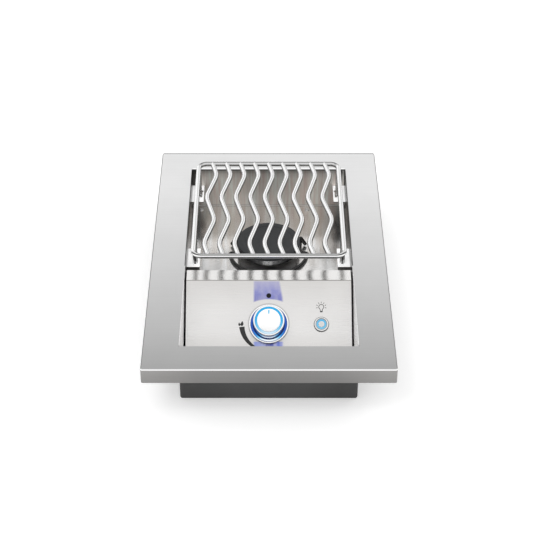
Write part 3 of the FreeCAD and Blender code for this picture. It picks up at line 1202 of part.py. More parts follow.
def make_electrics():
    make_module("SparkModule", "spark_module", "spark_left", "spark_right")
    make_module("LightDriver", "light_driver", "driver_left", "driver_right")
    x = VALUES["spark_across"]
    y = VALUES["burner_centre"] + VALUES["spark_behind"]
    pin = bent_rod([Vector(x, y, 6), Vector(x, y, 44.5), Vector(x, y - 3.2, 47.2)], 3, 1.2)
    finish(shaped("Electrode", pin), "ignition_electrode")
    insulator = turned("Insulator", [
        (1.26, 12), (4, 12), (4, 28), (5.6, 28), (5.6, 30), (3.2, 32), (2.6, 40), (1.26, 40)])
    finish(place(insulator, "spark_across", "burner_centre + spark_behind", 0), "electrode_insulator")
    bend = VALUES["lead_bend"]
    radius = VALUES["lead_radius"]
    module_back = VALUES["module_high"]
    spark = [Vector(80, module_back + 0.2, 13), Vector(80, -8, 12), Vector(66, 62, 10), Vector(44, 124, 8.6),
             Vector(24, y, 8.6), Vector(x + 1.25, y, 8.6)]
    finish(shaped("IgniterLead", bent_rod(spark, bend, radius)), "igniter_lead")
    switch = panel_placement(VALUES["button_right"], height=-VALUES["housing_depth"] - 13).Base
    left = VALUES["driver_right"]
    front = VALUES["module_low"]
    light = [Vector(left - 14, front - 0.2, 8), Vector(left - 14, front - 42, 6), Vector(40, front - 42, 6),
             Vector(switch.x, front - 42, 8), switch]
    finish(shaped("LightLead", bent_rod(light, bend, radius)), "light_lead")


def check_document():
    """Stop if any object failed or any finished piece has no valid solid."""
    for item in DOC.Objects:
        if {"Invalid", "Error"} & set(item.State):
            raise RuntimeError(f"{item.Name} failed: {item.State}")
    for item in NODES:
        if item.Shape.isNull() or not item.Shape.isValid() or not item.Shape.Solids:
            raise RuntimeError(f"{item.Label} has no valid solid")


def main():
    make_sheet()
    make_surround()
    make_box()
    make_side_liners()
    make_cross_liners()
    make_well_floor()
    make_panel()
    make_stay()
    make_shelves()
    make_screws()
    make_rivets()
    make_grate()
    make_burner()
    make_burner_wires()
    make_gas_mixing()
    make_valve()
    make_gas_supply()
    make_knob()
    make_bezel()
    make_light_button()
    make_electrics()
    DOC.recompute()
    check_document()
    os.makedirs("parts", exist_ok=True)
    for item in NODES:
        item.Shape.exportStep(f"parts/{item.Label}.step")
        solids = len(item.Shape.Solids)
        print(f"{item.Label}: {solids} solid(s), {item.Shape.Volume / 1000:.2f} cm3")
    print(f"{len(NODES)} pieces")


main()
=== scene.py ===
"""Looks of a drop-in gas side burner: brushed and polished steel, bent chrome rods, lit knob and button."""

import logging
import math
from dataclasses import dataclass
from enum import Enum
from functools import reduce

import bmesh
import bpy
from mathutils import Matrix, Vector


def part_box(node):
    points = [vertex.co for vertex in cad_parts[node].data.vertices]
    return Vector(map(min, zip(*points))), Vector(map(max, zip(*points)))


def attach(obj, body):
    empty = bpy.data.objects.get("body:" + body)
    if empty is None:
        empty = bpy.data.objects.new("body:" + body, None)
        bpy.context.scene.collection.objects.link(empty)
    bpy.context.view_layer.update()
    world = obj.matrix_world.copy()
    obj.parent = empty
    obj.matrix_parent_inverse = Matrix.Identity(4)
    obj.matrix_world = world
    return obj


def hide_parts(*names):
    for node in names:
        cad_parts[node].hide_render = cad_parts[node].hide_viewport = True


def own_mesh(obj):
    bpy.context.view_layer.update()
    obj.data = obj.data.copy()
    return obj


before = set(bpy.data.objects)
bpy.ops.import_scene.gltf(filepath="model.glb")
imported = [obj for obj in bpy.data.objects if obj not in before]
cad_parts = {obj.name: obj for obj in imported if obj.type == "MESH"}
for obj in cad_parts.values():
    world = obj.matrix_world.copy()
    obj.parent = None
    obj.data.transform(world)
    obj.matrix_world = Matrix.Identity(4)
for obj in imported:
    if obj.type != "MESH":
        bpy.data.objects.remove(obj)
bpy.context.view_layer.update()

Node = bpy.types.Node
Socket = bpy.types.NodeSocket
Material = bpy.types.Material
Piece = bpy.types.Object
Color = tuple[float, float, float]
Place = tuple[float, float, float]
Point = tuple[float, float]

LOG = logging.getLogger("side_burner")
MM = 0.001
AXIS_X, AXIS_Y, AXIS_Z = (1.0, 0.0, 0.0), (0.0, 1.0, 0.0), (0.0, 0.0, 1.0)
PANEL_TILT = math.radians(40)
PANEL_NORMAL = (0.0, -math.sin(PANEL_TILT), math.cos(PANEL_TILT))
PANEL_UP = (0.0, math.cos(PANEL_TILT), math.sin(PANEL_TILT))
KNOB_CENTRE = (0.0, -0.11361, 0.04461)
BUTTON_RIGHT = 0.0783
CRISP_ANGLE = math.radians(32)
FLAT_ANGLE = math.radians(0.2)
MERGE_GAP = 1e-6
EDGE_SEGMENTS = 2
ARC_ANGLE = math.radians(5)
ARC_STEPS = 6
ROD_SIDES = 24
TURNED_SIDES = 96
FINE_SIDES = 128
NOISE_SPAN = (0.3, 0.7)
WHITE = (1.0, 1.0, 1.0)
PALETTE: dict[str, Material] = {}


class Body(Enum):
    """Bodies of the motion model."""

    FIXED = "surround_and_box"
    GRATE = "lift_off_grate"
    CAP = "lift_off_cap"
    KNOB = "knob"
    BUTTON = "light_button"
    PLUG = "gas_plug"


class Grain(Enum):
    """Way that the polishing lines run, as the stretch of a noise along X, Y and Z in 1/m."""

    ALONG_X = (6.0, 1100.0, 1100.0)
    ALONG_Y = (1100.0, 6.0, 1100.0)
    ALONG_Z = (1100.0, 1100.0, 6.0)
    NONE = (250.0, 250.0, 250.0)


def grey(value: float, warmth: float = 0.0) -> Color:
    """Give a linear grey for an sRGB value of 0 to 255, tinted warm by a share of itself."""
    level = ((value / 255 + 0.055) / 1.055) ** 2.4
    return (level * (1 + warmth), level, level * (1 - warmth))


def srgb(red: float, green: float, blue: float) -> Color:
    """Give the linear colour of three sRGB values of 0 to 255."""
    return (grey(red)[0], grey(green)[0], grey(blue)[0])


class Tree:
    """A node tree that is filled by short calls."""

    def __init__(self, tree: bpy.types.NodeTree) -> None:
        """Keep the tree that gets the nodes."""
        self.tree = tree

    def fill(self, node: Node, inputs: dict) -> Node:
        """Set or link the inputs of a node.

        Args:
            node: The node.
            inputs: Sockets of other nodes, or plain values, by input name or number.

        Returns:
            The node.
        """
        for key, value in inputs.items():
            socket = node.inputs[key]
            if isinstance(value, Socket):
                self.tree.links.new(value, socket)
            else:
                socket.default_value = (*value, 1.0) if socket.type == "RGBA" else value
        return node

    def add(self, kind: str, inputs: dict | None = None, **settings: object) -> Node:
        """Add one node.

        Args:
            kind: Blender's name of the node type.
            inputs: What goes into it, as for fill.
            **settings: Properties of the node, set before its inputs.

        Returns:
            The new node.
        """
        node = self.tree.nodes.new(kind)
        for name, value in settings.items():
            setattr(node, name, value)
        return self.fill(node, inputs or {})

    def math(self, operation: str, *values: object) -> Socket:
        """Add a Math node and give its output."""
        return self.add("ShaderNodeMath", dict(enumerate(values)), operation=operation).outputs[0]

    def product(self, first: object, *others: object) -> Socket:
        """Multiply numbers."""
        return reduce(lambda total, value: self.math("MULTIPLY", total, value), others, first)

    def vector(self, operation: str, *values: object) -> Socket:
        """Add a Vector Math node and give its output, a number for a dot product or a distance."""
        node = self.add("ShaderNodeVectorMath", dict(enumerate(values)), operation=operation)
        return node.outputs["Value" if operation in ("DOT_PRODUCT", "DISTANCE") else "Vector"]

    def times(self, first: object, second: object) -> Socket:
        """Multiply two colours."""
        return self.vector("MULTIPLY", first, second)

    def spread(self, value: object, span: Point, low: float = 0.0, high: float = 1.0) -> Socket:
        """Map a span of a value to low and high, held at both ends."""
        names = ("Value", "From Min", "From Max", "To Min", "To Max")
        return self.add("ShaderNodeMapRange", dict(zip(names, (value, *span, low, high)))).outputs["Result"]

    def fade(self, value: object, span: Point, start: float = 1.0) -> Socket:
        """Map a span of a value to a start and zero, held at both ends."""
        return self.spread(value, span, start, 0.0)

    def bands(self, value: object, stops: tuple) -> Socket:
        """Look a value up in bands of grey or colour.

        Args:
            value: Socket that is looked up.
            stops: Two or more values in rising order, each with an sRGB grey, a grey and its warmth, or red,
                green and blue.

        Returns:
            The colour.
        """
        low, high = stops[0][0], stops[-1][0]
        node = self.add("ShaderNodeValToRGB", {0: self.spread(value, (low, high))})
        elements = node.color_ramp.elements
        while len(elements) < len(stops):
            elements.new(1.0)
        for element, (position, *levels) in zip(elements, stops):
            element.position = (position - low) / (high - low)
            element.color = (*(srgb(*levels) if len(levels) == 3 else grey(*levels)), 1.0)
        return node.outputs["Color"]

    def blend(self, share: object, first: object, second: object) -> Socket:
        """Mix two colours by a share from 0 to 1."""
        return self.add("ShaderNodeMix", {0: share, 6: first, 7: second}, data_type="RGBA").outputs[2]

    def noise(self, place: object, stretch: object, detail: float, roughness: float = 0.5) -> Socket:
        """Give a noise from 0 to 1, stretched along the axes."""
        inputs = {"Vector": self.vector("MULTIPLY", place, stretch), "Scale": 1.0, "Detail": detail}
        return self.add("ShaderNodeTexNoise", {**inputs, "Roughness": roughness}).outputs["Fac"]


def open_group(name: str, kind: str, inputs: dict[str, str], outputs: dict[str, str]) -> Tree:
    """Start a node group with named sockets.

    Args:
        name: Name of the group.
        kind: Type of the tree.
        inputs: Socket type of each input, by its name.
        outputs: Socket type of each output, by its name.

    Returns:
        The tree, still without nodes.
    """
    group = bpy.data.node_groups.new(name, kind)
    for in_out, sockets in (("INPUT", inputs), ("OUTPUT", outputs)):
        for label, socket_type in sockets.items():
            group.interface.new_socket(name=label, in_out=in_out, socket_type=f"NodeSocket{socket_type}")
    return Tree(group)


class Effect(Enum):
    """Shared shader groups, each with its noise's detail and roughness and its effect on the gloss."""

    LINES = ("Polishing Lines", 3.0, 0.65, 0.05)
    CLOUDS = ("Handling Clouds", 2.0, 0.5, 0.0)
    SKIN = ("Moulded Skin", 2.0, 0.5, 0.06)

    def build(self) -> bpy.types.NodeTree:
        """Build the group, in which a noise varies lightness, roughness and height.

        Returns:
            The group.
        """
        name, detail, roughness, gain = self.value
        varied = {"Color": "Color", "Roughness": "Float"}
        inputs = {"Vector": "Vector", "Stretch": "Vector", "Contrast": "Float", **varied}
        tree = open_group(name, "ShaderNodeTree", inputs, {**varied, "Height": "Float"})
        given = tree.add("NodeGroupInput").outputs
        noise = tree.noise(given["Vector"], given["Stretch"], detail, roughness)
        height = tree.spread(noise, NOISE_SPAN, -1.0, 1.0)
        lift = tree.math("MULTIPLY_ADD", height, given["Contrast"], 1.0)
        tint = tree.add("ShaderNodeVectorMath", {0: given["Color"], "Scale": lift}, operation="SCALE")
        rough = tree.math("MULTIPLY_ADD", height, gain, given["Roughness"])
        tree.add("NodeGroupOutput", {"Color": tint.outputs[0], "Roughness": rough, "Height": height})
        return tree.tree


EFFECTS = {effect: effect.build() for effect in Effect}


class Surface(Tree):
    """Node tree of one material, with the places and facings that its patterns read."""

    def __init__(self, name: str, values: dict[str, object]) -> None:
        """Make the material.

        Args:
            name: Name of the material.
            values: Plain inputs of its shader, by name.
        """
        self.material = bpy.data.materials.new(name)
        self.material.use_nodes = True
        super().__init__(self.material.node_tree)
        self.shader = self.fill(self.tree.nodes["Principled BSDF"], values)
        self.place = self.add("ShaderNodeTexCoord").outputs["Object"]
        self.x, self.y, self.z = self.add("ShaderNodeSeparateXYZ", {0: self.place}).outputs

    def facing(self, direction: Place) -> Socket:
        """Give how far the surface faces a direction, from -1 to 1."""
        return self.vector("DOT_PRODUCT", self.add("ShaderNodeTexCoord").outputs["Normal"], direction)

    def up_panel(self) -> Socket:
        """Give the distance in millimetres up the panel from the knob's axis."""
        offset = self.vector("SUBTRACT", self.place, KNOB_CENTRE)
        return self.product(self.vector("DOT_PRODUCT", offset, PANEL_UP), 1 / MM)

    def radius(self, across: float) -> Socket:
        """Give the distance in millimetres from an axis that stands on the panel.

        Args:
            across: Place of the axis along X in metres.

        Returns:
            The distance.
        """
        offset = self.vector("SUBTRACT", self.place, (across, *KNOB_CENTRE[1:]))
        rise = self.vector("DOT_PRODUCT", offset, PANEL_NORMAL)
        flat = self.math("SUBTRACT", self.vector("DOT_PRODUCT", offset, offset), self.product(rise, rise))
        return self.product(self.math("SQRT", self.math("MAXIMUM", flat, 0.0)), 1 / MM)

    def effect(self, effect: Effect, stretch: Place, color: object, contrast: float,
               roughness: float = 0.0) -> bpy.types.NodeOutputs:
        """Lay a shared effect over a colour and a roughness, and give the group's outputs."""
        inputs = {"Vector": self.place, "Stretch": stretch, "Color": color, "Contrast": contrast,
                  "Roughness": roughness}
        return self.add("ShaderNodeGroup", inputs, node_tree=EFFECTS[effect]).outputs


@dataclass(frozen=True)
class Metal:
    """Metal with polishing lines, in one colour or in bands across the object."""

    name: str
    color: Color
    metallic: float = 1.0
    roughness: float = 0.3
    contrast: float = 0.04
    depth: float = 0.06
    coat: float = 0.0
    clouds: float = 0.05
    cloud_scale: float = 18.0
    glow: float = 0.0
    grain: Grain = Grain.NONE
    stops: tuple = ()
    effect = Effect.LINES
    coat_roughness = 0.08
    bump_distance = 0.0003

    def stretch(self) -> Place:
        """Give the stretch of the effect's noise."""
        return self.grain.value

    def base(self, tree: Surface) -> object:
        """Give the colour before the surface effects."""
        # Bands across X carry the port ring's painted highlight and the box's painted shade.
        return tree.bands(tree.x, self.stops) if self.stops else self.color

    def extras(self, tree: Surface, rough: Socket) -> dict[str, object]:
        """Give further inputs of the shader, here a faint white glow, which is painted light, where the
        finish has one.
        """
        return {"Emission Color": WHITE, "Emission Strength": self.glow} if self.glow else {}

    def build(self) -> Material:
        """Build the material.

        Returns:
            The material.
        """
        tree = Surface(self.name, {"Metallic": self.metallic, "Coat Weight": self.coat,
                                   "Coat Roughness": self.coat_roughness})
        cloudy = tree.effect(Effect.CLOUDS, (self.cloud_scale,) * 3, self.base(tree), self.clouds)["Color"]
        surface = tree.effect(self.effect, self.stretch(), cloudy, self.contrast, self.roughness)
        bump = tree.add("ShaderNodeBump", {"Height": surface["Height"], "Strength": self.depth,
                                           "Distance": self.bump_distance})
        rough = surface["Roughness"]
        tree.fill(tree.shader, {"Base Color": surface["Color"], "Roughness": rough,
                                "Normal": bump.outputs["Normal"], **self.extras(tree, rough)})
        return tree.material


@dataclass(frozen=True)
class Skin(Metal):
    """Cast, enamelled, painted or moulded surface, with fine pimples."""

    metallic: float = 0.0
    scale: float = 900.0
    effect = Effect.SKIN

    def stretch(self) -> Place:
        """Give the same stretch every way."""
        return (self.scale,) * 3


@dataclass(frozen=True)
class SurroundSteel(Metal):
    """Brushed flange painted lighter to the back, with painted highlights, painted shade on its rim and
    bends, and a skirt painted darker.
    """

    grain: Grain = Grain.ALONG_X
    # Painted reflection: the flange goes from color at the front to far at the back.
    far: Color = grey(229)
    painted_light_span: Point = (-0.27, 0.16)
    painted_light_power: float = 0.85
    # Painted shade: a dark line along the outer edge at the back and the sides.
    rim: Color = grey(100)
    rim_shade_back: Point = (0.2757, 0.2766)
    rim_shade_side: Point = (0.1764, 0.1770)
    rim_shade_share: float = 0.8
    # Painted light on the bend: a highlight where it faces the front, shade where it faces back or sideways.
    bend: tuple[Color, Color] = (grey(120), grey(250))
    # Painted reflection: the skirt is darker, lighter towards its top, with a painted sheen towards its ends.
    skirt: tuple[Color, Color] = (grey(136, 0.02), grey(146, 0.02))
    skirt_heights: Point = (0.074, 0.097)
    skirt_painted_sheen: tuple = ((0.0, 224), (0.1, 231), (0.165, 255))
    # Painted highlight: a white band on the flange just behind the opening.
    highlight_near: Point = (0.2266, 0.2286)
    highlight_far: Point = (0.2320, 0.2326)
    highlight_half: Point = (0.124, 0.127)
    faces_front: Point = (-0.12, -0.03)
    faces_up: Point = (0.02, 0.3)
    level: Point = (0.93, 0.995)

    def base(self, tree: Surface) -> Socket:
        """Paint the flange lighter by its depth, with a highlight band and a shaded rim, and paint the bend
        and skirt by which way they face.

        Args:
            tree: Tree of the material.

        Returns:
            The colour.
        """
        side = tree.math("ABSOLUTE", tree.x)
        # Painted reflection: share of the lighter back colour, by depth.
        depth = tree.math("POWER", tree.spread(tree.y, self.painted_light_span), self.painted_light_power)
        # Painted highlight behind the opening, mixed in as white.
        bright = tree.product(tree.fade(tree.y, self.highlight_far), tree.spread(tree.y, self.highlight_near),
                              tree.fade(side, self.highlight_half))
        flange = tree.blend(bright, tree.blend(depth, self.color, self.far), WHITE)
        # Painted shade along the rim at the back and the sides.
        rim = tree.math("MAXIMUM", tree.spread(tree.y, self.rim_shade_back),
                        tree.spread(side, self.rim_shade_side, high=self.rim_shade_share))
        flange = tree.blend(rim, flange, self.rim)
        # Painted highlight on the front bend, painted shade on the others.
        bend = tree.blend(tree.fade(tree.facing(AXIS_Y), self.faces_front), *self.bend)
        # Painted reflection on the skirt, with its painted sheen across.
        skirt = tree.blend(tree.spread(tree.z, self.skirt_heights), *self.skirt)
        skirt = tree.times(skirt, tree.bands(side, self.skirt_painted_sheen))
        upward = tree.facing(AXIS_Z)
        edge = tree.blend(tree.fade(upward, self.faces_up), bend, skirt)
        return tree.blend(tree.spread(upward, self.level), edge, flange)


@dataclass(frozen=True)
class PanelSteel(Metal):
    """Sloping panel with a polished strip on top, a painted sheen and painted shade, and the knob's blue
    light painted on it.

    Reaches of the painted light and of the painted shadow at the bezel's foot are in millimetres from the
    knob's axis, the rest in metres.
    """

    grain: Grain = Grain.ALONG_X
    strip_front: float = -0.0619
    strip_gloss: float = 0.62
    # Painted shade: a thin darker line along the bend between the strip and the slope.
    bend: Color = grey(150, 0.04)
    bend_width: Point = (0.0003, 0.0009)
    # Painted light: where the knob's blue light falls on the steel, with its streaks and colours.
    glow_left: Point = (-23.7, -20.7)
    glow_right: Point = (20.9, 15.7)
    glow_right_heights: Point = (38.8, 66.5)
    glow_edge: Point = (-1.5, 1.5)
    glow_below: float = 20.9
    glow_ring: Point = (58.5, 60.3)
    glow_top: Point = (65.5, 66.5)
    glow_thin: Point = (52.5, 66.5)
    glow_thin_share: float = 0.82
    glow_foot: Point = (-26.5, -25.5)
    glow_end: Point = (-50.0, -36.0)
    wisps: Place = (110.0, 60.0, 60.0)
    wisp_detail: float = 3.0
    wisp_span: Point = (0.32, 0.55)
    wisp_share: float = 0.72
    glow_high: tuple = ((-33.0, 140, 143, 198), (36.0, 132, 134, 194), (52.0, 150, 152, 204),
                        (68.0, 176, 174, 206))
    glow_low: tuple = ((-22.0, 150, 163, 226), (-9.0, 178, 186, 228), (-5.2, 174, 180, 224),
                       (-4.0, 66, 80, 178), (6.6, 74, 90, 182), (7.8, 176, 180, 228),
                       (11.5, 158, 166, 222), (14.0, 118, 134, 212), (20.0, 158, 165, 220))
    # Painted sheen: the steel lighter or darker by its height up the slope.
    shine: tuple = ((-42.0, 218, 0.02), (-10.0, 230, 0.012), (20.0, 228, 0.012),
                    (66.0, 215, 0.02), (67.4, 236, 0.012))
    # Painted shade: a dark halo round the screw's head.
    screw_shade: Color = grey(70)
    screw_shade_reach: Point = (0.00315, 0.0042)
    screw_shade_share: float = 0.75
    # Painted shadow: a dark ring on the panel round the bezel's foot.
    foot: Color = grey(90)
    bezel_shadow_reach: Point = (29.8, 31.8)
    bezel_shadow_share: float = 0.4
    bezel_shadow_lift: float = 1.2

    @staticmethod
    def around(tree: Surface, across: Socket, up: Socket, below: float) -> Socket:
        """Give the distance in millimetres from a point on the panel below the knob's axis."""
        rise = tree.math("ADD", up, below)
        return tree.math("SQRT", tree.math("ADD", tree.product(across, across), tree.product(rise, rise)))

    def light(self, tree: Surface, across: Socket, up: Socket, low: Socket) -> Socket:
        """Give where the knob's blue light falls, above and below its bezel.

        Args:
            tree: Tree of the material.
            across: Distance to the right of the knob's axis.
            up: Distance up the panel.
            low: 1 below the knob.

        Returns:
            The share of the light.
        """
        reach = tree.spread(up, self.glow_right_heights, *self.glow_right)
        ring = tree.spread(self.around(tree, across, up, self.glow_below), self.glow_ring)
        wisp = tree.noise(tree.place, self.wisps, self.wisp_detail)
        return tree.product(
            tree.spread(across, self.glow_left),
            tree.spread(tree.math("SUBTRACT", reach, across), self.glow_edge),
            tree.math("MAXIMUM", ring, low), tree.fade(up, self.glow_top), tree.spread(up, self.glow_end),
            tree.spread(wisp, self.wisp_span, self.wisp_share),
            tree.spread(up, self.glow_thin, 1.0, self.glow_thin_share))

    def base(self, tree: Surface) -> Socket:
        """Paint the steel's sheen by its height, shade on the bend, round the screw and at the bezel's foot,
        and the knob's light.

        Args:
            tree: Tree of the material.

        Returns:
            The colour.
        """
        up = tree.up_panel()
        across = tree.product(tree.x, 1 / MM)
        low = tree.fade(up, self.glow_foot)
        # Painted shadow round the bezel's foot, laid over the painted sheen.
        foot = tree.fade(self.around(tree, across, up, -self.bezel_shadow_lift), self.bezel_shadow_reach, self.bezel_shadow_share)
        steel = tree.blend(foot, tree.bands(up, self.shine), self.foot)
        # Painted shade along the strip's bend.
        bend = tree.math("ABSOLUTE", tree.math("SUBTRACT", tree.y, self.strip_front))
        steel = tree.blend(tree.fade(bend, self.bend_width), steel, self.bend)
        # Painted light: the knob's blue light, in its colours above and below the knob.
        glow = tree.blend(low, tree.bands(up, self.glow_high), tree.bands(across, self.glow_low))
        steel = tree.blend(self.light(tree, across, up, low), steel, glow)
        # Painted shade round the screw's head.
        low_corner, high_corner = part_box("panel_screw")
        screw = (Vector(low_corner) + Vector(high_corner)) / 2
        screw_shade = tree.fade(tree.vector("DISTANCE", tree.place, screw), self.screw_shade_reach, self.screw_shade_share)
        return tree.blend(screw_shade, steel, self.screw_shade)

    def extras(self, tree: Surface, rough: Socket) -> dict[str, object]:
        """Make the strip smoother than the brushed slope."""
        share = tree.spread(tree.y, (self.strip_front, self.strip_front + MM), 1.0, self.strip_gloss)
        return {"Roughness": tree.product(rough, share)}


@dataclass(frozen=True)
class RodSteel(Metal):
    """Bent chrome rod with painted reflection bands: bright, and dark where a round mirror shows dark, by the
    way that it faces.
    """

    # Painted reflection: bands across and along the rod that a chrome rod would mirror.
    side_reflection_bands: tuple = ((-1.0, 120), (-0.9, 175), (-0.78, 250), (-0.6, 255), (-0.1, 255), (0.08, 214),
                       (0.26, 206), (0.42, 244), (0.68, 240), (0.86, 160), (1.0, 50))
    end_reflection_bands: tuple = ((-1.0, 105), (-0.93, 130), (-0.84, 236), (-0.72, 232), (-0.56, 150), (-0.36, 190),
                      (-0.2, 250), (0.12, 250), (0.3, 180), (0.6, 110))

    def base(self, tree: Surface) -> Socket:
        """Paint the reflection bands across and along the object."""
        return tree.times(tree.bands(tree.facing(AXIS_X), self.side_reflection_bands),
                          tree.bands(tree.facing(AXIS_Y), self.end_reflection_bands))


@dataclass(frozen=True)
class RingSteel(RodSteel):
    """Rod of the grate's frame, whose front and back rails get their own painted reflection bands."""

    centre: float = 0.0861
    corner: Point = (0.1165, 0.1235)
    tilt: Place = (0.0, 0.8, 0.6)
    # Painted reflection bands of the front and back rails.
    front: tuple = ((-1.0, 110), (-0.92, 135), (-0.8, 185), (-0.6, 210), (-0.48, 250), (-0.2, 250),
                    (-0.08, 80), (0.22, 80), (0.36, 222), (0.6, 218), (0.7, 60), (1.0, 45))
    back: tuple = ((-1.0, 130), (-0.8, 165), (-0.6, 185), (-0.35, 205), (-0.15, 212), (0.1, 212), (0.3, 145),
                   (0.55, 95), (0.7, 150), (0.84, 255), (1.0, 255))

    def base(self, tree: Surface) -> Socket:
        """Paint reflection bands on the side rails as on the bars, and on the front and back rails by their
        tilt.

        Args:
            tree: Tree of the material.

        Returns:
            The colour.
        """
        off = tree.math("ABSOLUTE", tree.math("SUBTRACT", tree.y, self.centre))
        behind = tree.spread(tree.y, (self.centre - MM, self.centre + MM))
        rise = tree.facing(self.tilt)
        rails = tree.blend(behind, tree.bands(rise, self.front), tree.bands(rise, self.back))
        return tree.blend(tree.spread(off, self.corner), super().base(tree), rails)


@dataclass(frozen=True)
class TurnedSteel(Metal):
    """Turned bright metal, with painted highlight and shade bands by its distance in millimetres from an axis
    that stands on the panel.
    """

    roughness: float = 0.12
    contrast: float = 0.01
    depth: float = 0.01
    clouds: float = 0.02
    across: float = 0.0
    upright: Point = (0.15, 0.5)
    top_metal: float = 0.12

    def base(self, tree: Surface) -> Socket:
        """Paint the highlight and shade bands by the radius."""
        return tree.bands(tree.radius(self.across), self.stops)

    def extras(self, tree: Surface, rough: Socket) -> dict[str, object]:
        """Keep the upright sides a mirror, and take some metal off the tops so that their painted white
        highlight shows.
        """
        return {"Metallic": tree.spread(tree.facing(PANEL_NORMAL), self.upright, 1.0, self.top_metal)}


@dataclass(frozen=True)
class ShelfSteel(Metal):
    """Bright shelf with painted shade: its turned-down edges are painted dark, and so is its edge where it
    meets the wall.
    """

    grain: Grain = Grain.ALONG_Y
    # Painted light: the top glows white.
    glow: float = 0.5
    # Painted shade on the turned-down edges.
    edge: Color = grey(104, 0.04)
    edge_metal: float = 0.9
    # Painted shade: a dark strip where the shelf meets the wall.
    wall_gap_shade: Color = grey(60)
    wall: Point = (0.1246, 0.1254)
    faces_up: Point = (0.3, 0.8)

    def base(self, tree: Surface) -> Socket:
        """Paint the top lit and the turned-down edges shaded, by the way that they face."""
        side = tree.spread(tree.math("ABSOLUTE", tree.x), self.wall)
        return tree.blend(tree.spread(tree.facing(AXIS_Z), self.faces_up), self.edge,
                          tree.blend(side, self.color, self.wall_gap_shade))

    def extras(self, tree: Surface, rough: Socket) -> dict[str, object]:
        """Let the top glow white as painted light, and its edges mirror the well.

        Args:
            tree: Tree of the material.
            rough: Roughness of the surface; not used.

        Returns:
            Inputs of the shader.
        """
        upward = tree.facing(AXIS_Z)
        # Painted light: white glow on the top only.
        glow = tree.blend(tree.spread(upward, self.faces_up), grey(0), WHITE)
        return {"Metallic": tree.fade(upward, self.faces_up, self.edge_metal), "Emission Color": glow,
                "Emission Strength": self.glow}


@dataclass(frozen=True)
class BackSteel(Metal):
    """Heat-tinted back wall, lighter to the right, with painted shade at its ends and under the surround, a
    painted highlight along the floor and a thin shadow above it.
    """

    grain: Grain = Grain.ALONG_Z
    # Painted shade: the dark ends of the wall beside the liners; the tone across the middle varies as given.
    stops: tuple = ((-0.126, 70), (-0.119, 90), (-0.113, 228), (-0.06, 250), (-0.02, 232), (0.03, 236),
                    (0.07, 252), (0.112, 250), (0.118, 236), (0.1195, 92), (0.1215, 92), (0.1225, 245),
                    (0.1247, 245), (0.1256, 25))
    tints: tuple[Color, Color] = (srgb(226, 210, 202), srgb(248, 252, 246))
    streaks: Place = (120.0, 120.0, 9.0)
    streak_detail: Point = (4.0, 0.65)
    # Painted shade: darker towards the top, under the surround.
    heights: tuple = ((0.028, 250), (0.06, 250), (0.082, 255), (0.0905, 236), (0.097, 180))
    streak_span: Point = (0.36, 0.64)
    # Painted highlight: a bright line along the seam with the floor.
    seam: Color = grey(246, 0.01)
    seam_heights: Point = (0.0285, 0.0297)
    seam_share: float = 0.6
    shade: Color = grey(60, 0.02)
    shade_heights: Point = (0.0297, 0.0312)
    shade_share: float = 0.35

    def base(self, tree: Surface) -> Socket:
        """Tint the wall across in upright streaks, paint shade at its ends and top, and a highlight along its
        lowest edge with a shadow above it.

        Args:
            tree: Tree of the material.

        Returns:
            The colour.
        """
        share = tree.spread(tree.noise(tree.place, self.streaks, *self.streak_detail), self.streak_span)
        wall = tree.times(tree.bands(tree.x, self.stops), tree.blend(share, *self.tints))
        # Painted shade towards the top of the wall.
        wall = tree.times(wall, tree.bands(tree.z, self.heights))
        wall = tree.blend(tree.fade(tree.z, self.shade_heights, self.shade_share), wall, self.shade)
        # Painted highlight along the seam.
        return tree.blend(tree.fade(tree.z, self.seam_heights, self.seam_share), wall, self.seam)


@dataclass(frozen=True)
class FloorSteel(Metal):
    """Polished floor of the well, heat-tinted behind the burner and darker towards its right wall."""

    grain: Grain = Grain.ALONG_Y
    stops: tuple = ((-0.126, 232), (-0.1, 246), (0.07, 250), (0.095, 212), (0.112, 190), (0.126, 198))
    front_stops: tuple = ((-0.126, 205), (-0.09, 214), (-0.05, 240), (0.0, 252), (0.126, 255))
    front_end: Point = (0.03, 0.09)
    streaks: Place = (90.0, 7.0, 7.0)
    streak_detail: Point = (3.0, 0.6)
    streak_span: Point = (0.4, 0.62)
    tint: Color = srgb(240, 234, 228)
    front_tint: Color = grey(246)
    burner: Place = (0.0, 0.0886, 0.028)
    shadow: Color = grey(165)
    shadow_reach: Point = (0.0585, 0.0605)
    shadow_half: Point = (0.036, 0.05)
    shadow_end: Point = (0.04, 0.055)

    def base(self, tree: Surface) -> Socket:
        """Tint the floor across, in streaks that run to the back, and shade it in front of the burner.

        Args:
            tree: Tree of the material.

        Returns:
            The colour.
        """
        share = tree.spread(tree.noise(tree.place, self.streaks, *self.streak_detail), self.streak_span)
        rear = tree.times(tree.bands(tree.x, self.stops), tree.blend(share, self.tint, WHITE))
        front = tree.times(tree.bands(tree.x, self.front_stops), tree.blend(share, self.front_tint, WHITE))
        floor = tree.blend(tree.spread(tree.y, self.front_end), front, rear)
        apart = tree.vector("DISTANCE", tree.place, self.burner)
        near = tree.product(tree.fade(apart, self.shadow_reach),
                            tree.fade(tree.math("ABSOLUTE", tree.x), self.shadow_half),
                            tree.fade(tree.y, self.shadow_end))
        return tree.blend(near, floor, self.shadow)


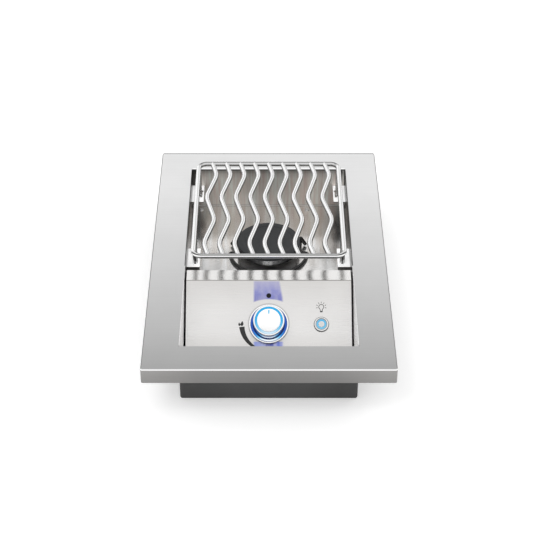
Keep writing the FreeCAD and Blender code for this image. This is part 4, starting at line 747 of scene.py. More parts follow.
@dataclass(frozen=True)
class LinerSteel(Metal):
    """Side wall of the well, dark round the burner and bright beside the controls."""

    clouds: float = 0.15
    grain: Grain = Grain.ALONG_X
    turn: Point = (-0.0375, -0.0365)
    bright_metal: float = 0.8
    shadow: Color = grey(30)
    shadow_heights: Point = (0.068, 0.076)

    def base(self, tree: Surface) -> Socket:
        """Change the colour at the well's front wall, and darken the edge under the surround behind it.

        Args:
            tree: Tree of the material.

        Returns:
            The colour.
        """
        behind = tree.spread(tree.y, self.turn)
        shadow = tree.product(behind, tree.spread(tree.z, self.shadow_heights))
        return tree.blend(shadow, tree.blend(behind, WHITE, self.color), self.shadow)

    def extras(self, tree: Surface, rough: Socket) -> dict[str, object]:
        """Let the liner shine white beside the controls."""
        return {"Metallic": tree.spread(tree.y, self.turn, self.bright_metal)}


@dataclass(frozen=True)
class Lamp:
    """Clear plastic lit from behind, banded up the panel, whiter towards the bottom partly by its own light
    and partly as a painted highlight, and darker at its inner and outer edges.
    """

    name: str
    glow: tuple
    rim: Color
    middle: float
    half: float
    across: float = 0.0
    plastic: Color = (0.01, 0.015, 0.02)
    roughness: float = 0.35
    shine: float = 0.2
    edge_start: float = 0.5

    def build(self) -> Material:
        """Build the material.

        Returns:
            The material.
        """
        tree = Surface(self.name, {"Base Color": self.plastic, "Emission Strength": 1.0,
                                   "Roughness": self.roughness, "Specular IOR Level": self.shine})
        off_middle = tree.math("ABSOLUTE", tree.math("SUBTRACT", tree.radius(self.across), self.middle))
        edge = tree.spread(off_middle, (self.half * self.edge_start, self.half))
        # The bands up the panel whiten the lower part: partly the lamp's own light, partly a painted
        # highlight.
        light = tree.blend(edge, tree.bands(tree.up_panel(), self.glow), self.rim)
        tree.fill(tree.shader, {"Emission Color": light})
        return tree.material


def build_palette() -> None:
    """Build every finish once and keep it by its name."""
    rod = {"roughness": 0.2, "contrast": 0.02, "depth": 0.02, "clouds": 0.03}
    for finish in (
            SurroundSteel("surround steel", grey(170), roughness=0.34, contrast=0.035, clouds=0.015),
            PanelSteel("panel steel", grey(222), contrast=0.02, clouds=0.02),
            # Painted shade: the right liner is a darker copy of the left one.
            LinerSteel("left liner steel", grey(196, 0.02)),
            LinerSteel("right liner steel", grey(168, 0.02)),
            BackSteel("back wall steel", grey(160), metallic=0.55, roughness=0.36, contrast=0.12,
                      clouds=0.1, cloud_scale=14.0),
            FloorSteel("well floor steel", grey(250), metallic=0.88, roughness=0.2, contrast=0.012,
                       depth=0.02, clouds=0.02),
            ShelfSteel("shelf steel", grey(255), roughness=0.35, clouds=0.01),
            RodSteel("grate rod", grey(252), **rod),
            RingSteel("grate frame rod", grey(252), **rod),
            Metal("weld", grey(214), depth=0.2),
            Skin("cap enamel", srgb(37, 39, 42), roughness=0.45, contrast=0.1, depth=0.25, coat=0.1),
            # Painted highlight: a bright band down the middle of the port ring, darker to the sides.
            Metal("head metal", grey(150), metallic=0.75, roughness=0.24, contrast=0.1, grain=Grain.ALONG_X,
                  stops=((-0.036, 72), (-0.02, 92), (-0.011, 106), (-0.0075, 212), (0.003, 212), (0.006, 158),
                         (0.011, 124), (0.018, 90), (0.036, 70))),
            Skin("cast metal", grey(150), metallic=0.9, roughness=0.5, depth=0.5, scale=500.0),
            Skin("black enamel", grey(20), roughness=0.18, coat=0.5, depth=0.05),
            # Painted shade: the box coating darker towards its sides.
            Skin("box coating", grey(78), roughness=0.5, contrast=0.05, depth=0.1, metallic=0.3,
                 stops=((-0.14, 65), (-0.1, 68), (-0.05, 78), (0.05, 78), (0.1, 68), (0.14, 65))),
            Metal("zinc plate", grey(200, -0.01), roughness=0.35),
            Metal("screw steel", grey(205)),
            Metal("floor screw steel", grey(245)),
            Skin("black oxide", grey(40), metallic=0.8, roughness=0.4),
            Metal("brass", srgb(205, 178, 112)),
            Skin("die cast alloy", grey(178), metallic=0.9, roughness=0.45, depth=0.3, scale=600.0),
            Skin("ceramic", grey(238, 0.02), roughness=0.15, contrast=0.03, coat=0.7, depth=0.04),
            Skin("silicone cover", grey(52), roughness=0.5),
            Skin("black plastic", grey(44), roughness=0.5, depth=0.3),
            Skin("lamp board", srgb(18, 40, 120), roughness=0.4),
            # Painted highlights and shade: white bands on the rims, grey lines at their edges, and on the
            # knob's side blue bands as a painted reflection of its light ring.
            TurnedSteel("knob chrome", grey(252), top_metal=0.9, stops=(
                (20.3, 120), (20.7, 255), (22.8, 255), (23.05, 92, 108, 168), (23.3, 66, 86, 156))),
            TurnedSteel("bezel chrome", grey(252), top_metal=0.95, stops=(
                (26.8, 120), (27.05, 255), (29.25, 255), (29.45, 120), (30.0, 120))),
            TurnedSteel("button chrome", grey(252), across=BUTTON_RIGHT, top_metal=0.7, stops=(
                (8.3, 110), (8.8, 235), (9.9, 250), (10.4, 150), (11.4, 140))),
            # Painted light: the knob's white face glows faintly.
            Skin("knob face", grey(254), roughness=0.12, contrast=0.01, coat=0.8, depth=0.01, glow=0.12),
            Skin("button face", grey(232), roughness=0.2, contrast=0.01, coat=0.5, depth=0.01),
            Skin("printed ink", grey(48), roughness=0.55, contrast=0.2),
            Skin("pointer ink", srgb(70, 190, 235)),
            Lamp("knob ring light", (
                (-19.0, 216, 238, 250), (-13.0, 132, 206, 240), (0.0, 48, 174, 232),
                (19.0, 42, 176, 232)), srgb(50, 120, 180), middle=18.95, half=1.9),
            Lamp("bezel light", (
                (-26.5, 255, 255, 255), (-23.2, 232, 250, 255), (-20.5, 120, 206, 244),
                (-17.0, 52, 138, 216), (-10.0, 42, 88, 184), (26.0, 42, 80, 170)),
                srgb(46, 92, 176), middle=24.4, half=2.6),
            Lamp("button light", ((-8.0, 120, 196, 230), (8.0, 86, 180, 228)), grey(168),
                 middle=5.9, half=2.0, across=BUTTON_RIGHT)):
        PALETTE[finish.name] = finish.build()


def paint(mesh: bpy.types.Mesh, finish: str) -> None:
    """Give a mesh one finish."""
    mesh.materials.clear()
    mesh.materials.append(PALETTE[finish])


def paint_nodes(finish: str, *nodes: str) -> None:
    """Give CAD nodes whose shape is right a finish."""
    for node in nodes:
        paint(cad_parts[node].data, finish)


def place_object(name: str, data: bpy.types.ID) -> Piece:
    """Put a mesh, a lamp or a camera in the scene.

    Args:
        name: Name of the object.
        data: What it shows.

    Returns:
        The object.
    """
    piece = bpy.data.objects.new(name, data)
    bpy.context.scene.collection.objects.link(piece)
    return piece


def add_piece(name: str, mesh: bpy.types.Mesh, finish: str) -> Piece:
    """Put a mesh in the scene with one finish."""
    paint(mesh, finish)
    return place_object(name, mesh)


def bake(piece: Piece) -> Piece:
    """Turn what the modifiers make into the piece's own plain mesh.

    Args:
        piece: The piece.

    Returns:
        The same piece.
    """
    graph = bpy.context.evaluated_depsgraph_get()
    mesh = bpy.data.meshes.new_from_object(piece.evaluated_get(graph))
    piece.modifiers.clear()
    piece.data = mesh
    return piece


def shaded_piece(name: str, work: bmesh.types.BMesh, mesh: bpy.types.Mesh, finish: str, edge: float) -> Piece:
    """Make a smooth piece with crisp, slightly broken edges.

    Args:
        name: Name of the piece.
        work: Its shape, which is used up.
        mesh: Mesh that takes the shape.
        finish: Its finish.
        edge: Width of the broken edges in millimetres.

    Returns:
        The piece, as a plain mesh.
    """
    work.normal_update()
    for face in work.faces:
        face.smooth = True
    for line in work.edges:
        line.smooth = len(line.link_faces) == 2 and line.calc_face_angle(math.pi) < CRISP_ANGLE
    work.to_mesh(mesh)
    work.free()
    piece = add_piece(name, mesh, finish)
    if edge > 0:
        bevel = piece.modifiers.new("edges", "BEVEL")
        bevel.width = edge * MM
        bevel.segments = EDGE_SEGMENTS
        bevel.limit_method = "ANGLE"
        bevel.angle_limit = CRISP_ANGLE
    piece.modifiers.new("normals", "WEIGHTED_NORMAL").keep_sharp = True
    return bake(piece)


def settle(piece: Piece, body: Body, slot: str, *nodes: str) -> Piece:
    """Make a finished piece ride on its body and stand for its nodes.

    Args:
        piece: The piece, in place.
        body: Body that it moves with.
        slot: Record's material slot; not used.
        *nodes: Nodes that it replaces.

    Returns:
        The piece.
    """
    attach(piece, body.value)
    if nodes:
        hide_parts(*nodes)
    LOG.info("%s rides on %s", piece.name, body.value)
    return piece


def smooth_copy(node: str, name: str, slot: str, finish: str, edge: float = 0.0,
                body: Body = Body.FIXED) -> Piece:
    """Stand a merged, smoothly shaded copy in a node's place.

    Args:
        node: Node that is copied and replaced.
        name: Name of the new piece.
        slot: Record's material slot.
        finish: Its finish.
        edge: Width of the broken edges in millimetres.
        body: Body that it rides on.

    Returns:
        The new piece.
    """
    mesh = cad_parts[node].data.copy()
    work = bmesh.new()
    work.from_mesh(mesh)
    bmesh.ops.remove_doubles(work, verts=work.verts, dist=MERGE_GAP)
    bmesh.ops.dissolve_limit(work, angle_limit=FLAT_ANGLE, verts=work.verts, edges=work.edges)
    return settle(shaded_piece(name, work, mesh, finish, edge), body, slot, node)


def lathe(name: str, outline: list[Point], place: Matrix, finish: str, edge: float = 0.2,
          sides: int = TURNED_SIDES) -> Piece:
    """Turn an outline round the Z axis of its place.

    Args:
        name: Name of the piece.
        outline: Radius and height of each corner in millimetres, anticlockwise. An open outline starts
            and ends on the axis.
        place: Where the axis stands.
        finish: Its finish.
        edge: Width of the broken edges in millimetres.
        sides: Sides of the turned shape.

    Returns:
        The piece.
    """
    work = bmesh.new()
    turns = [2 * math.pi * step / sides for step in range(sides)]
    rings = [[work.verts.new((radius * MM * math.cos(turn), radius * MM * math.sin(turn), height * MM))
              for turn in (turns if radius else turns[:1])] for radius, height in outline]
    closed = outline[0][0] > 0
    for low, high in zip(rings, rings[1:] + (rings[:1] if closed else [])):
        for step in range(sides):
            after = (step + 1) % sides
            corners = ((low, step), (low, after), (high, after), (high, step))
            unique = list(dict.fromkeys(ring[place_in_ring % len(ring)] for ring, place_in_ring in corners))
            if len(unique) > 2:
                work.faces.new(unique)
    bmesh.ops.recalc_face_normals(work, faces=work.faces)
    work.transform(place)
    return shaded_piece(name, work, bpy.data.meshes.new(name), finish, edge)


def rounded_path(corners: list[Vector], radius: float, closed: bool = False) -> list[Vector]:
    """Round the inner corners of a path with arcs of one radius.

    Args:
        corners: Corners in millimetres.
        radius: Bend radius in millimetres.
        closed: Whether the path returns to its start.

    Returns:
        Points along the path in millimetres.
    """
    count = len(corners)
    points = [] if closed else [corners[0]]
    for index in range(0 if closed else 1, count if closed else count - 1):
        corner = corners[index]
        back = (corners[index - 1] - corner).normalized()
        ahead = (corners[(index + 1) % count] - corner).normalized()
        half = back.angle(ahead) / 2
        centre = corner + (back + ahead).normalized() * (radius / math.sin(half))
        first, last = (corner + way * (radius / math.tan(half)) - centre for way in (back, ahead))
        turn = first.angle(last)
        steps = max(ARC_STEPS, math.ceil(turn / ARC_ANGLE))
        for step in range(steps + 1):
            share = step / steps
            arm = first * math.sin((1 - share) * turn) + last * math.sin(share * turn)
            points.append(centre + arm / math.sin(turn))
    return points if closed else points + [corners[-1]]


class Shaper:
    """Geometry nodes that turn a wire or a set of points into a plain piece."""

    def __init__(self, name: str, inputs: dict[str, str]) -> None:
        """Build the tree, which ends in copies that are real and have their finish.

        Args:
            name: Name of the tree.
            inputs: Socket type of each of its own inputs, by name.
        """
        shape = {"Geometry": "Geometry"}
        tree = open_group(name, "GeometryNodeTree", {**shape, **inputs, "Finish": "Material"}, shape)
        given = tree.add("NodeGroupInput").outputs
        real = tree.add("GeometryNodeRealizeInstances", {"Geometry": self.copies(tree, given)})
        dressed = tree.add("GeometryNodeSetMaterial",
                           {"Geometry": real.outputs[0], "Material": given["Finish"]})
        tree.add("NodeGroupOutput", {"Geometry": dressed.outputs[0]})
        self.group = tree.tree

    @staticmethod
    def copies(tree: Tree, given: bpy.types.NodeOutputs) -> Socket:
        """Add the nodes between the tree's inputs and its copies, here none."""
        return given["Geometry"]

    def run(self, name: str, points: list[Vector], edges: list[tuple[int, int]], finish: str,
            values: dict[str, object]) -> Piece:
        """Run the tree on a wire.

        Args:
            name: Name of the piece.
            points: Points of the wire in millimetres.
            edges: Pairs of points that it joins.
            finish: Finish of the piece.
            values: The tree's own inputs, by name.

        Returns:
            The piece, as a plain mesh.
        """
        mesh = bpy.data.meshes.new(name)
        mesh.from_pydata([point * MM for point in points], edges, [])
        piece = add_piece(name, mesh, finish)
        modifier = piece.modifiers.new("copies", "NODES")
        modifier.node_group = self.group
        values = {**values, "Finish": PALETTE[finish]}
        for item in self.group.interface.items_tree:
            if item.item_type == "SOCKET" and item.in_out == "INPUT" and item.name in values:
                modifier[item.identifier] = values[item.name]
        return bake(piece)


class RodShaper(Shaper):
    """Sweeps a round rod along a path and repeats it in a row along X."""

    def __init__(self) -> None:
        """Build the tree."""
        inputs = {"Rod Radius": "Float", "Count": "Int", "Pitch": "Float", "Sides": "Int"}
        super().__init__("Bent Rods", inputs)

    @staticmethod
    def copies(tree: Tree, given: bpy.types.NodeOutputs) -> Socket:
        """Add the nodes that sweep and repeat the rod.

        Args:
            tree: Tree that gets the nodes.
            given: Its inputs.

        Returns:
            The rods.
        """
        path = tree.add("GeometryNodeMeshToCurve", {"Mesh": given["Geometry"]}).outputs[0]
        section = tree.add("GeometryNodeCurvePrimitiveCircle",
                           {"Resolution": given["Sides"], "Radius": given["Rod Radius"]}).outputs[0]
        rod = tree.add("GeometryNodeCurveToMesh",
                       {"Curve": path, "Profile Curve": section, "Fill Caps": True}).outputs[0]
        smooth = tree.add("GeometryNodeSetShadeSmooth", {"Geometry": rod}).outputs[0]
        reach = tree.product(tree.math("SUBTRACT", given["Count"], 1.0), given["Pitch"], -0.5)
        start = tree.add("ShaderNodeCombineXYZ", {"X": reach}).outputs[0]
        step = tree.add("ShaderNodeCombineXYZ", {"X": given["Pitch"]}).outputs[0]
        row = tree.add("GeometryNodeMeshLine",
                       {"Count": given["Count"], "Start Location": start, "Offset": step}).outputs[0]
        return tree.add("GeometryNodeInstanceOnPoints", {"Points": row, "Instance": smooth}).outputs[0]

    def sweep(self, name: str, paths: list[list[Vector]], radius: float, finish: str, closed: bool = False,
              count: int = 1, pitch: float = 0.0) -> Piece:
        """Make rods along paths.

        Args:
            name: Name of the piece.
            paths: Points of each path in millimetres.
            radius: Rod radius in millimetres.
            finish: Finish of the rods.
            closed: Whether the paths return to their start.
            count: Rods side by side along X.
            pitch: Distance between them in millimetres.

        Returns:
            The piece, as a plain mesh.
        """
        points: list[Vector] = []
        edges: list[tuple[int, int]] = []
        for path in paths:
            first, last = len(points), len(points) + len(path) - 1
            points += path
            edges += [(index, index + 1) for index in range(first, last)] + [(last, first)] * closed
        values = {"Rod Radius": radius * MM, "Count": count, "Pitch": pitch * MM, "Sides": ROD_SIDES}
        return self.run(name, points, edges, finish, values)


class SpotShaper(Shaper):
    """Sets one small part out on points, such as weld beads."""

    def __init__(self) -> None:
        """Build the tree."""
        super().__init__("Small Parts On Points", {"Part": "Object", "Turn": "Vector"})

    @staticmethod
    def copies(tree: Tree, given: bpy.types.NodeOutputs) -> Socket:
        """Add the nodes that set the part out."""
        part = tree.add("GeometryNodeObjectInfo", {"Object": given["Part"]}).outputs["Geometry"]
        return tree.add("GeometryNodeInstanceOnPoints", {"Points": given["Geometry"], "Instance": part,
                                                         "Rotation": given["Turn"]}).outputs[0]

    def scatter(self, name: str, part: Piece, points: list[Vector], finish: str, turn: Vector) -> Piece:
        """Set a part out on points, and take the pattern part away.

        Args:
            name: Name of the piece.
            part: Small part at the origin.
            points: Places in millimetres.
            finish: Finish of the parts.
            turn: Turn of each part.

        Returns:
            The piece, as a plain mesh.
        """
        piece = self.run(name, points, [], finish, {"Part": part, "Turn": turn})
        bpy.data.objects.remove(part)
        return piece


@dataclass
class Housing:
    """The stainless surround, the coated box, and the polished well with its shelves and screws."""

    shelf_edge: float = 0.25
    fitting_edge: float = 0.3

    def build(self) -> None:
        """Dress the sheets and what holds them."""
        smooth_copy("trim_surround", "surround_sheet", "surround_steel", "surround steel")
        smooth_copy("burner_box", "box_shell", "box_paint", "box coating")
        smooth_copy("bracket_rivets", "shelf_rivets", "fastener_steel", "screw steel")
        for node, name in (("inlet_fitting", "gas_fitting"), ("inlet_locknut", "gas_locknut")):
            smooth_copy(node, name, "valve_brass", "brass", self.fitting_edge)
        paint_nodes("well floor steel", "well_floor", "well_front_wall")
        paint_nodes("back wall steel", "well_back_wall")
        for side in ("left", "right"):
            paint_nodes(f"{side} liner steel", f"well_wall_{side}")
        for end in ("front_left", "front_right", "rear_left", "rear_right"):
            smooth_copy(f"grate_bracket_{end}", f"shelf_{end}", "shelf_steel", "shelf steel", self.shelf_edge)
        smooth_copy("well_screws", "floor_screws", "fastener_steel", "floor screw steel")


@dataclass
class Grate:
    """The lift-off grate, in millimetres: a rod frame, nine wavy rods, four legs and their welds."""

    rods: RodShaper
    spots: SpotShaper
    height: float = 118.0
    front: float = -41.4
    back: float = 213.6
    half: float = 113.5
    corner: float = 13.0
    frame_radius: float = 3.95
    bar_radius: float = 3.85
    bar_pitch: float = 22.8
    bar_count: int = 9
    bar_gap: float = 1.0
    reach: float = 6.2
    bend: float = 50.0
    first_crest: float = 35.6
    crest_gap: float = 62.4
    crests: int = 4
    crest_rounds: int = 20
    shelf_top: float = 68.1
    leg_rows: Point = (9.6, 196.5)
    bead: tuple[Point, ...] = ((-0.3, -0.2), (0.05, 0.15), (0.1, 0.6), (0.06, 1.2), (-0.3, 1.6))
    bead_sides: int = 20
    bead_drop: float = 1.1
    bead_start: float = 0.6
    bead_clear: float = 0.1

    def bar_path(self) -> list[Vector]:
        """Lay out the middle bar so that its bent crests have the wanted reach.

        Returns:
            Its centre line.
        """
        side = self.reach
        for _ in range(self.crest_rounds):
            lean = math.atan(2 * side / self.crest_gap)
            side = self.reach + self.bend * (1 / math.cos(lean) - 1)
        corners = [(side * (-1) ** crest, self.back - self.first_crest - crest * self.crest_gap)
                   for crest in range(self.crests)]
        corners = [(0, self.back - self.bar_gap), *corners, (0, self.front + self.bar_gap)]
        return rounded_path([Vector((x, y, self.height)) for x, y in corners], self.bend)

    def build(self) -> None:
        """Make the grate's rods and welds."""
        corners = [Vector((side * self.half, depth, self.height)) for side, depth in (
            (1, self.back), (-1, self.back), (-1, self.front), (1, self.front))]
        ring = rounded_path(corners, self.corner, closed=True)
        piece = self.rods.sweep("grate_ring", [ring], self.frame_radius, "grate frame rod", closed=True)
        settle(piece, Body.GRATE, "grate_rod", "grate_frame")
        path = self.bar_path()
        piece = self.rods.sweep("wavy_bars", [path], self.bar_radius, "grate rod", count=self.bar_count,
                                pitch=self.bar_pitch)
        settle(piece, Body.GRATE, "grate_rod", "grate_bars")
        stands = [Vector((x, y, self.height)) for x in (-self.half, self.half) for y in self.leg_rows]
        legs = [[Vector((spot.x, spot.y, self.shelf_top)), spot] for spot in stands]
        piece = self.rods.sweep("grate_feet", legs, self.bar_radius, "grate rod")
        settle(piece, Body.GRATE, "grate_rod", "grate_legs")
        self.build_welds(stands, path)

    def weld(self, name: str, points: list[Vector], tip: float = 0.0, lean: float = 0.0) -> None:
        """Put a small bead round some rod ends.

        Args:
            name: Name of the piece.
            points: Places of the beads in millimetres.
            tip: Turn of each bead about X.
            lean: Turn of each bead about Z.
        """
        outline = [(self.bar_radius + out, up) for out, up in self.bead]
        part = lathe("bead", outline, Matrix.Identity(4), "weld", edge=0, sides=self.bead_sides)
        piece = self.spots.scatter(name, part, points, "weld", Vector((tip, 0, lean)))
        settle(piece, Body.GRATE, "grate_rod")

    def build_welds(self, stands: list[Vector], path: list[Vector]) -> None:
        """Put a bead round every rod end that meets the frame.

        Args:
            stands: Tops of the legs.
            path: Centre line of the middle bar.
        """
        self.weld("leg_welds", [spot - Vector((0, 0, self.frame_radius + self.bead_drop)) for spot in stands])
        columns = [(number - (self.bar_count - 1) / 2) * self.bar_pitch for number in range(self.bar_count)]
        for name, rail, inward, along in (("back", self.back, -1, path[1] - path[0]),
                                          ("front", self.front, 1, path[-2] - path[-1])):
            lean = math.atan2(along.x, abs(along.y))
            offset = (self.frame_radius + self.bead_clear) * math.tan(lean)
            depth = rail + inward * (self.frame_radius - self.bead_start)
            points = [Vector((column + offset, depth, self.height)) for column in columns]
            self.weld(f"{name}_welds", points, -inward * math.pi / 2, -inward * lean)


@dataclass
class Burner:
    """The round burner, its wire ring and struts, and the igniter, in millimetres."""

    rods: RodShaper
    centre: float = 88.6
    floor: float = 28.0
    cap: tuple[Point, ...] = (
        (0, 49), (41, 49), (41, 46), (43.4, 46), (43.4, 49), (49.6, 49), (50.4, 49.8), (50.4, 52.3),
        (49.8, 53.1), (48.6, 53.6), (44.4, 53.85), (40, 53.9), (39.2, 53.5), (38.4, 53.4), (0, 54.0))
    cap_edge: float = 0.25
    wire: float = 2.6
    ring_radius: float = 61.5
    ring_half: float = math.radians(88)
    ring_steps: int = 72
    ring_trim: int = 3
    ring_inner: float = 27.6
    ring_bend: float = 2.8
    ring_out: float = 0.6
    strut_wire: float = 2.99
    strut_turn: float = math.radians(110)
    strut_near: float = 53.8
    strut_far: float = 63.0
    strut_top: float = 47.0
    strut_bend: float = 0.9

    def build(self) -> None:
        """Make the cap, head, base, wires and igniter."""
        place = Matrix.Translation((0, self.centre * MM, 0))
        piece = lathe("cap_plate", self.cap, place, "cap enamel", self.cap_edge)
        settle(piece, Body.CAP, "cap_enamel", "burner_cap")
        smooth_copy("burner_head", "port_ring", "head_metal", "head metal")
        smooth_copy("burner_base", "mixing_bowl", "cast_metal", "cast metal")
        smooth_copy("electrode_insulator", "igniter_ceramic", "ceramic", "ceramic")
        smooth_copy("ignition_electrode", "igniter_pin", "spring_steel", "screw steel")
        self.build_ring()
        self.build_struts()

    def build_ring(self) -> None:
        """Bend the wire ring in front of the burner, with both ends turned in."""
        height = self.floor + self.wire
        angles = [-math.pi / 2 + self.ring_half * (2 * step / self.ring_steps - 1)
                  for step in range(self.ring_steps + 1)]
        bow = [Vector((self.ring_radius * math.cos(angle), self.centre + self.ring_radius * math.sin(angle),
                       height)) for angle in angles]
        left, right = (Vector((self.ring_inner * side, bow[0].y, height)) for side in (-1, 1))
        out = Vector((self.ring_out, 0, 0))
        middle = bow[self.ring_trim:-self.ring_trim]
        path = rounded_path([left, bow[0] - out, middle[0]], self.ring_bend) + middle
        path += rounded_path([middle[-1], bow[-1] + out, right], self.ring_bend)
        piece = self.rods.sweep("wire_ring", [path], self.wire, "black enamel")
        settle(piece, Body.FIXED, "wire_enamel", "burner_ring")

    def build_struts(self) -> None:
        """Bend the two wire struts beside the burner."""
        paths = []
        for side in (-1, 1):
            outward = Vector((side * math.sin(self.strut_turn), -math.cos(self.strut_turn), 0))
            apex = outward * self.strut_near + Vector((0, self.centre, self.strut_top))
            foot = outward * self.strut_far + Vector((0, self.centre, self.floor + self.strut_wire))
            paths.append(rounded_path([Vector((apex.x, apex.y, self.floor)), apex, foot], self.strut_bend))
        piece = self.rods.sweep("wire_struts", paths, self.strut_wire, "black enamel")
        settle(piece, Body.FIXED, "wire_enamel", "burner_struts")


@dataclass(frozen=True)
class Turned:
    """A turned part of the controls, with its outline in millimetres."""

    name: str
    node: str
    slot: str
    finish: str
    outline: tuple[Point, ...]
    edge: float = 0.1
    body: Body = Body.FIXED
    sides: int = TURNED_SIDES

    def build(self, place: Matrix) -> None:
        """Turn the part at its place."""
        piece = lathe(self.name, self.outline, place, self.finish, self.edge, self.sides)
        settle(piece, self.body, self.slot, self.node)


def arc(radius: float, start: float, end: float, steps: int, centre: Point = (0.0, 0.0)) -> list[Point]:
    """Give points along an arc between two angles in degrees."""
    angles = [math.radians(start + (end - start) * step / steps) for step in range(steps + 1)]
    return [(centre[0] + radius * math.cos(angle), centre[1] + radius * math.sin(angle)) for angle in angles]


def stroke(points: list[Point], widths: list[float]) -> list[Point]:
    """Give the outline of a line of changing width.

    Args:
        points: Points along the line.
        widths: Its width at each point.

    Returns:
        The outline.
    """
    left, right = [], []
    for index, point in enumerate(points):
        before, after = points[max(index - 1, 0)], points[min(index + 1, len(points) - 1)]
        along = Vector((after[0] - before[0], after[1] - before[1])).normalized()
        offset = Vector((-along.y, along.x)) * widths[index] / 2
        left.append(Vector(point) + offset)
        right.append(Vector(point) - offset)
    return left + right[::-1]


@dataclass(frozen=True)
class Symbols:
    """Outlines of the printed flow band, flame and lamp, in millimetres and degrees."""

    flow_radius: float = 40.2
    flow_turn: Point = (185.0, 268.0)
    flow_steps: int = 40
    flow_tip: float = 0.3
    flow_growth: float = 7.7
    flow_power: float = 0.8
    tongues: tuple[Place, ...] = ((1.0, 1.15, 0.6), (-2.6, 0.8, -0.8))
    flame_steps: int = 24
    flame_half: float = 2.3
    flame_taper: float = 0.75
    flame_foot: float = -3.2
    flame_height: float = 6.4
    flame_point: float = 0.2
    flame_sink: float = 3.0
    glass_centre: Point = (0.0, 0.9)
    glass_radius: float = 3.1
    glass_turn: Point = (-52.0, 232.0)
    glass_steps: int = 36
    neck: tuple[Point, ...] = ((1.2, -4.3), (1.25, -2.9))
    socket: tuple[Point, ...] = ((-1.5, -5.9), (1.5, -5.9), (1.6, -4.2), (-1.6, -4.2))
    lamp_line: float = 0.75
    rays: range = range(-12, 193, 34)
    ray_reach: Point = (4.6, 6.6)
    ray_line: float = 0.65

    def flow(self) -> list[Point]:
        """Draw the band that narrows as the gas flow does.

        Returns:
            Its outline.
        """
        shares = [1 - step / self.flow_steps for step in range(self.flow_steps + 1)]
        widths = [self.flow_growth * share ** self.flow_power + self.flow_tip for share in shares]
        return stroke(arc(self.flow_radius, *self.flow_turn, self.flow_steps), widths)

    def flame(self) -> list[list[Point]]:
        """Draw a flame of tongues that are round at the foot, each with its shift, its size and its lean.

        Returns:
            Their outlines.
        """
        outlines = []
        for shift, size, lean in self.tongues:
            outline = []
            for step in range(self.flame_steps):
                turn = 2 * math.pi * step / self.flame_steps
                rise = (1 - math.cos(turn)) / 2
                half = self.flame_half * (1 - self.flame_taper * rise ** 2)
                x = math.cos(turn - math.pi / 2) * half + lean * rise ** 2
                y = self.flame_foot + self.flame_height * rise - (0.0 if step else self.flame_point)
                outline.append((shift + size * x, size * y - (1 - size) * self.flame_sink))
            outlines.append(outline)
        return outlines

    def lamp(self) -> list[list[Point]]:
        """Draw a lamp with a round glass, a socket and rays over its upper half.

        Returns:
            Its outlines.
        """
        glass = arc(self.glass_radius, *self.glass_turn, self.glass_steps, self.glass_centre)
        outline = [*self.neck, *glass, *((-x, y) for x, y in self.neck[::-1])]
        shapes = [stroke(outline, [self.lamp_line] * len(outline)), list(self.socket)]
        for angle in self.rays:
            ends = [arc(reach, angle, angle, 1, self.glass_centre)[0] for reach in self.ray_reach]
            shapes.append(stroke(ends, [self.ray_line] * 2))
        return shapes


